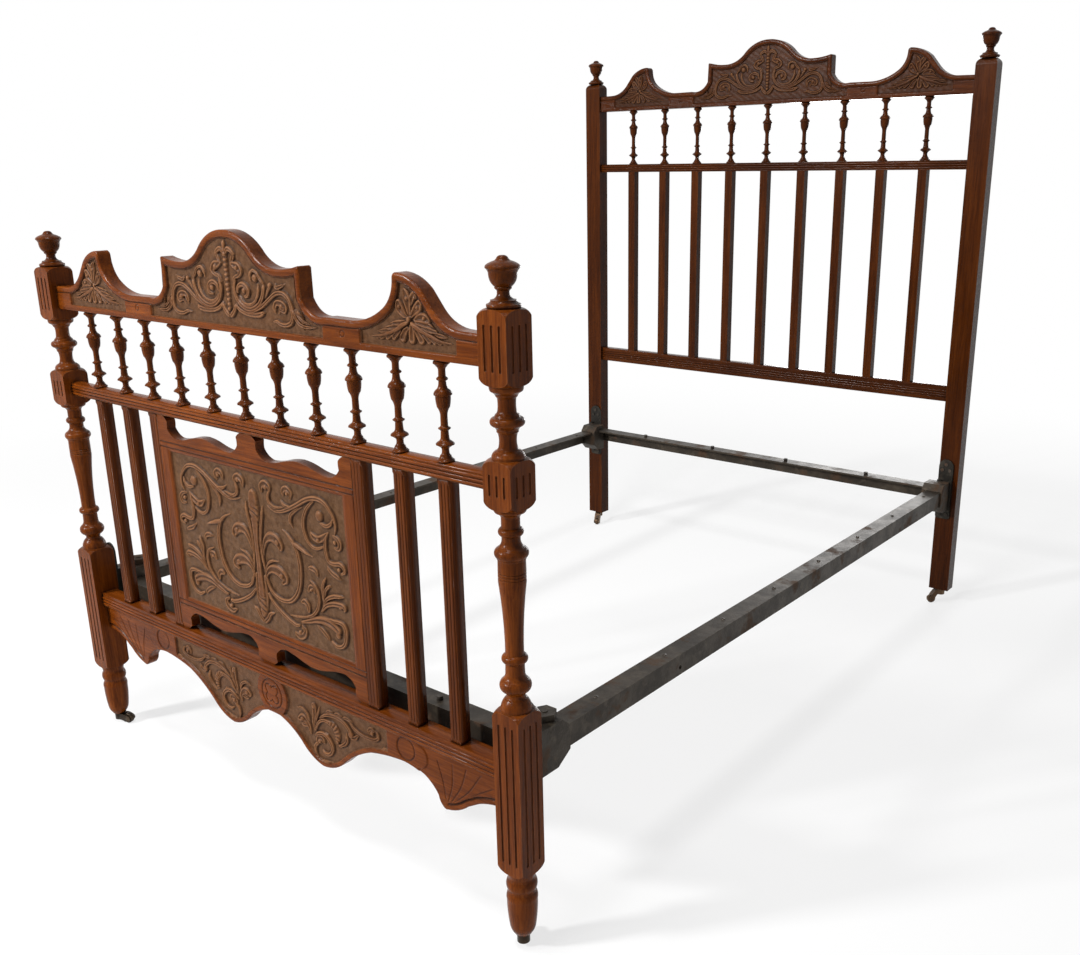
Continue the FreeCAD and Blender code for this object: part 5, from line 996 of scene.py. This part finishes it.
def slat(node):
    low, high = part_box(node)
    ground = low.y + SLAT_INSET
    points = [(high.y, low.x, 0), (ground, low.x, 0), (ground, low.x + SLAT_EDGE, 0)]
    for place, lift in reeds((high.x - low.x) / MM - 5.6, 3):
        points.append((ground, low.x + SLAT_EDGE + place * MM, min(lift, 2.0) * MM))
    points += [(ground, high.x - SLAT_EDGE, 0), (ground, high.x, 0), (high.y, high.x, 0)]
    y, x, lift = np.array(points).T
    # The ground between reeds shows only along the middle of the slat; its ends are flush.
    ends = [SLAT_LOW + e for e in SLAT_ENDS]
    stations = ends + list(np.linspace(SLAT_LOW + 0.03, SLAT_HIGH - 0.03, 10))
    z = np.array(stations + [SLAT_LOW + SLAT_HIGH - e for e in reversed(ends)])
    z, y = np.meshgrid(z, y)
    face = y < high.y - 1e-6
    reeded = smooth(np.minimum(z - SLAT_LOW, SLAT_HIGH - z) / MM, 6, 11)
    flush = np.where(face, low.y + 0.0002, y)
    y = (y - lift[:, None]) * reeded + flush * (1 - reeded)
    x = np.repeat(x[:, None], z.shape[1], 1)
    piece = grid_mesh(node + "_reeded", x[:, ::-1], y[:, ::-1], z[:, ::-1])
    return finished(piece, slat_wood, "polished_wood", node)


for node in [f"foot_slat_{n}" for n in (1, 2, 3, 4)] + ["panel_stile_left", "panel_stile_right"]:
    slat(node)
print("slats and stiles:", 6)

# %% [markdown]
# ## Camera, floor and light
# The camera stands right of the foot end, 1.3 metres high, and looks 19 degrees down. A plain
# pale floor takes a soft shadow. The main lamp is compact and far to the left, so that it draws
# the carving with clear shadows, and weaker ones fill from above, the right and the back.

# %% Camera
camera_data = bpy.data.cameras.new("camera")
camera = bpy.data.objects.new("camera", camera_data)
bpy.context.scene.collection.objects.link(camera)
camera.location = (1.74071, -2.15094, 1.30027)
camera.rotation_mode = "QUATERNION"
camera.rotation_quaternion = (0.76088546, 0.55988737, 0.19890457, 0.26079959)
camera_data.sensor_width = 36
camera_data.lens = 36.096
camera_data.shift_x, camera_data.shift_y = -0.03911, 0.02144
camera_data.clip_end = 60
bpy.context.scene.camera = camera

# %% Floor and backdrop
WHITE = (1, 1, 1, 1)
SKY_STRENGTH = 0.11     # what the bed itself receives from the sky
FLOOR_HALF = 14


def seen_directly(tree):
    """1 for what the camera sees, also in a reflection or through glass; 0 for the light on the bed."""
    rays = tree.add("ShaderNodeLightPath").outputs
    mirror = tree.math("MAXIMUM", rays["Is Glossy Ray"], rays["Is Transmission Ray"])
    return tree.math("MAXIMUM", rays["Is Camera Ray"], mirror)


def blended(tree, share, first, second, kind):
    """Mix two shaders by the share, and link them to the tree's output."""
    blend = tree.add("ShaderNodeMixShader", {0: share, 1: first.outputs[0], 2: second.outputs[0]})
    output = next(n for n in tree.tree.nodes if n.type == kind)
    tree.fill(output.inputs, {"Surface": blend.outputs[0]})


def pale_floor():
    material, tree, shader, place = new_finish("pale_floor")
    tint = tree.mix(tree.noise(place, 3.0, 2.0), (0.90, 0.90, 0.90, 1), (0.93, 0.93, 0.93, 1))
    tree.fill(shader.inputs, {"Base Color": tint, "Roughness": 0.9})
    glow = tree.add("ShaderNodeEmission", {"Color": WHITE, "Strength": 1.0})
    far = tree.add("ShaderNodeVectorMath", {0: place}, operation="LENGTH").outputs["Value"]
    share = tree.plus(0.74, tree.times(tree.ramp(far, 1.6, 4.2), 0.26))
    blended(tree, tree.times(seen_directly(tree), share), shader, glow, "OUTPUT_MATERIAL")
    return material


corners = (-FLOOR_HALF, FLOOR_HALF)
x, y = np.meshgrid(corners, corners)
floor = grid_mesh("floor", x, y, np.zeros(x.shape) - 0.0002, closed=False)
floor.data.materials.append(pale_floor())

world = bpy.data.worlds.new("studio")
bpy.context.scene.world = world
world.use_nodes = True
tree = Tree(world.node_tree)
soft_sky = world.node_tree.nodes["Background"]
tree.fill(soft_sky.inputs, {"Color": WHITE, "Strength": SKY_STRENGTH})
white = tree.add("ShaderNodeBackground", {"Color": WHITE, "Strength": 1.0})
blended(tree, seen_directly(tree), soft_sky, white, "OUTPUT_WORLD")
print("floor and sky:", floor.name, world.name)


# %% Lamps
def lamp(name, place, target, power, width):
    data = bpy.data.lights.new(name, "AREA")
    data.energy, data.size, data.shape = power, width, "SQUARE"
    item = bpy.data.objects.new(name, data)
    bpy.context.scene.collection.objects.link(item)
    item.location = place
    way = Vector(target) - Vector(place)
    item.rotation_mode = "QUATERNION"
    item.rotation_quaternion = way.to_track_quat("-Z", "Y")


lamp("front_left", (-2.6, -5.0, 3.3), (0, -0.6, 0.7), 425, 0.62)
lamp("over", (0.2, -1.8, 4.6), (0, -0.2, 0.5), 115, 0.9)
lamp("right_fill", (4.8, -2.6, 1.9), (0.4, 0, 0.7), 6, 1.4)
lamp("back_fill", (-1.6, 6.2, 1.1), (0, 0.6, 0.8), 120, 2.0)
bpy.context.scene.view_settings.view_transform = "Standard"
print("lamps:", len(bpy.data.lights))
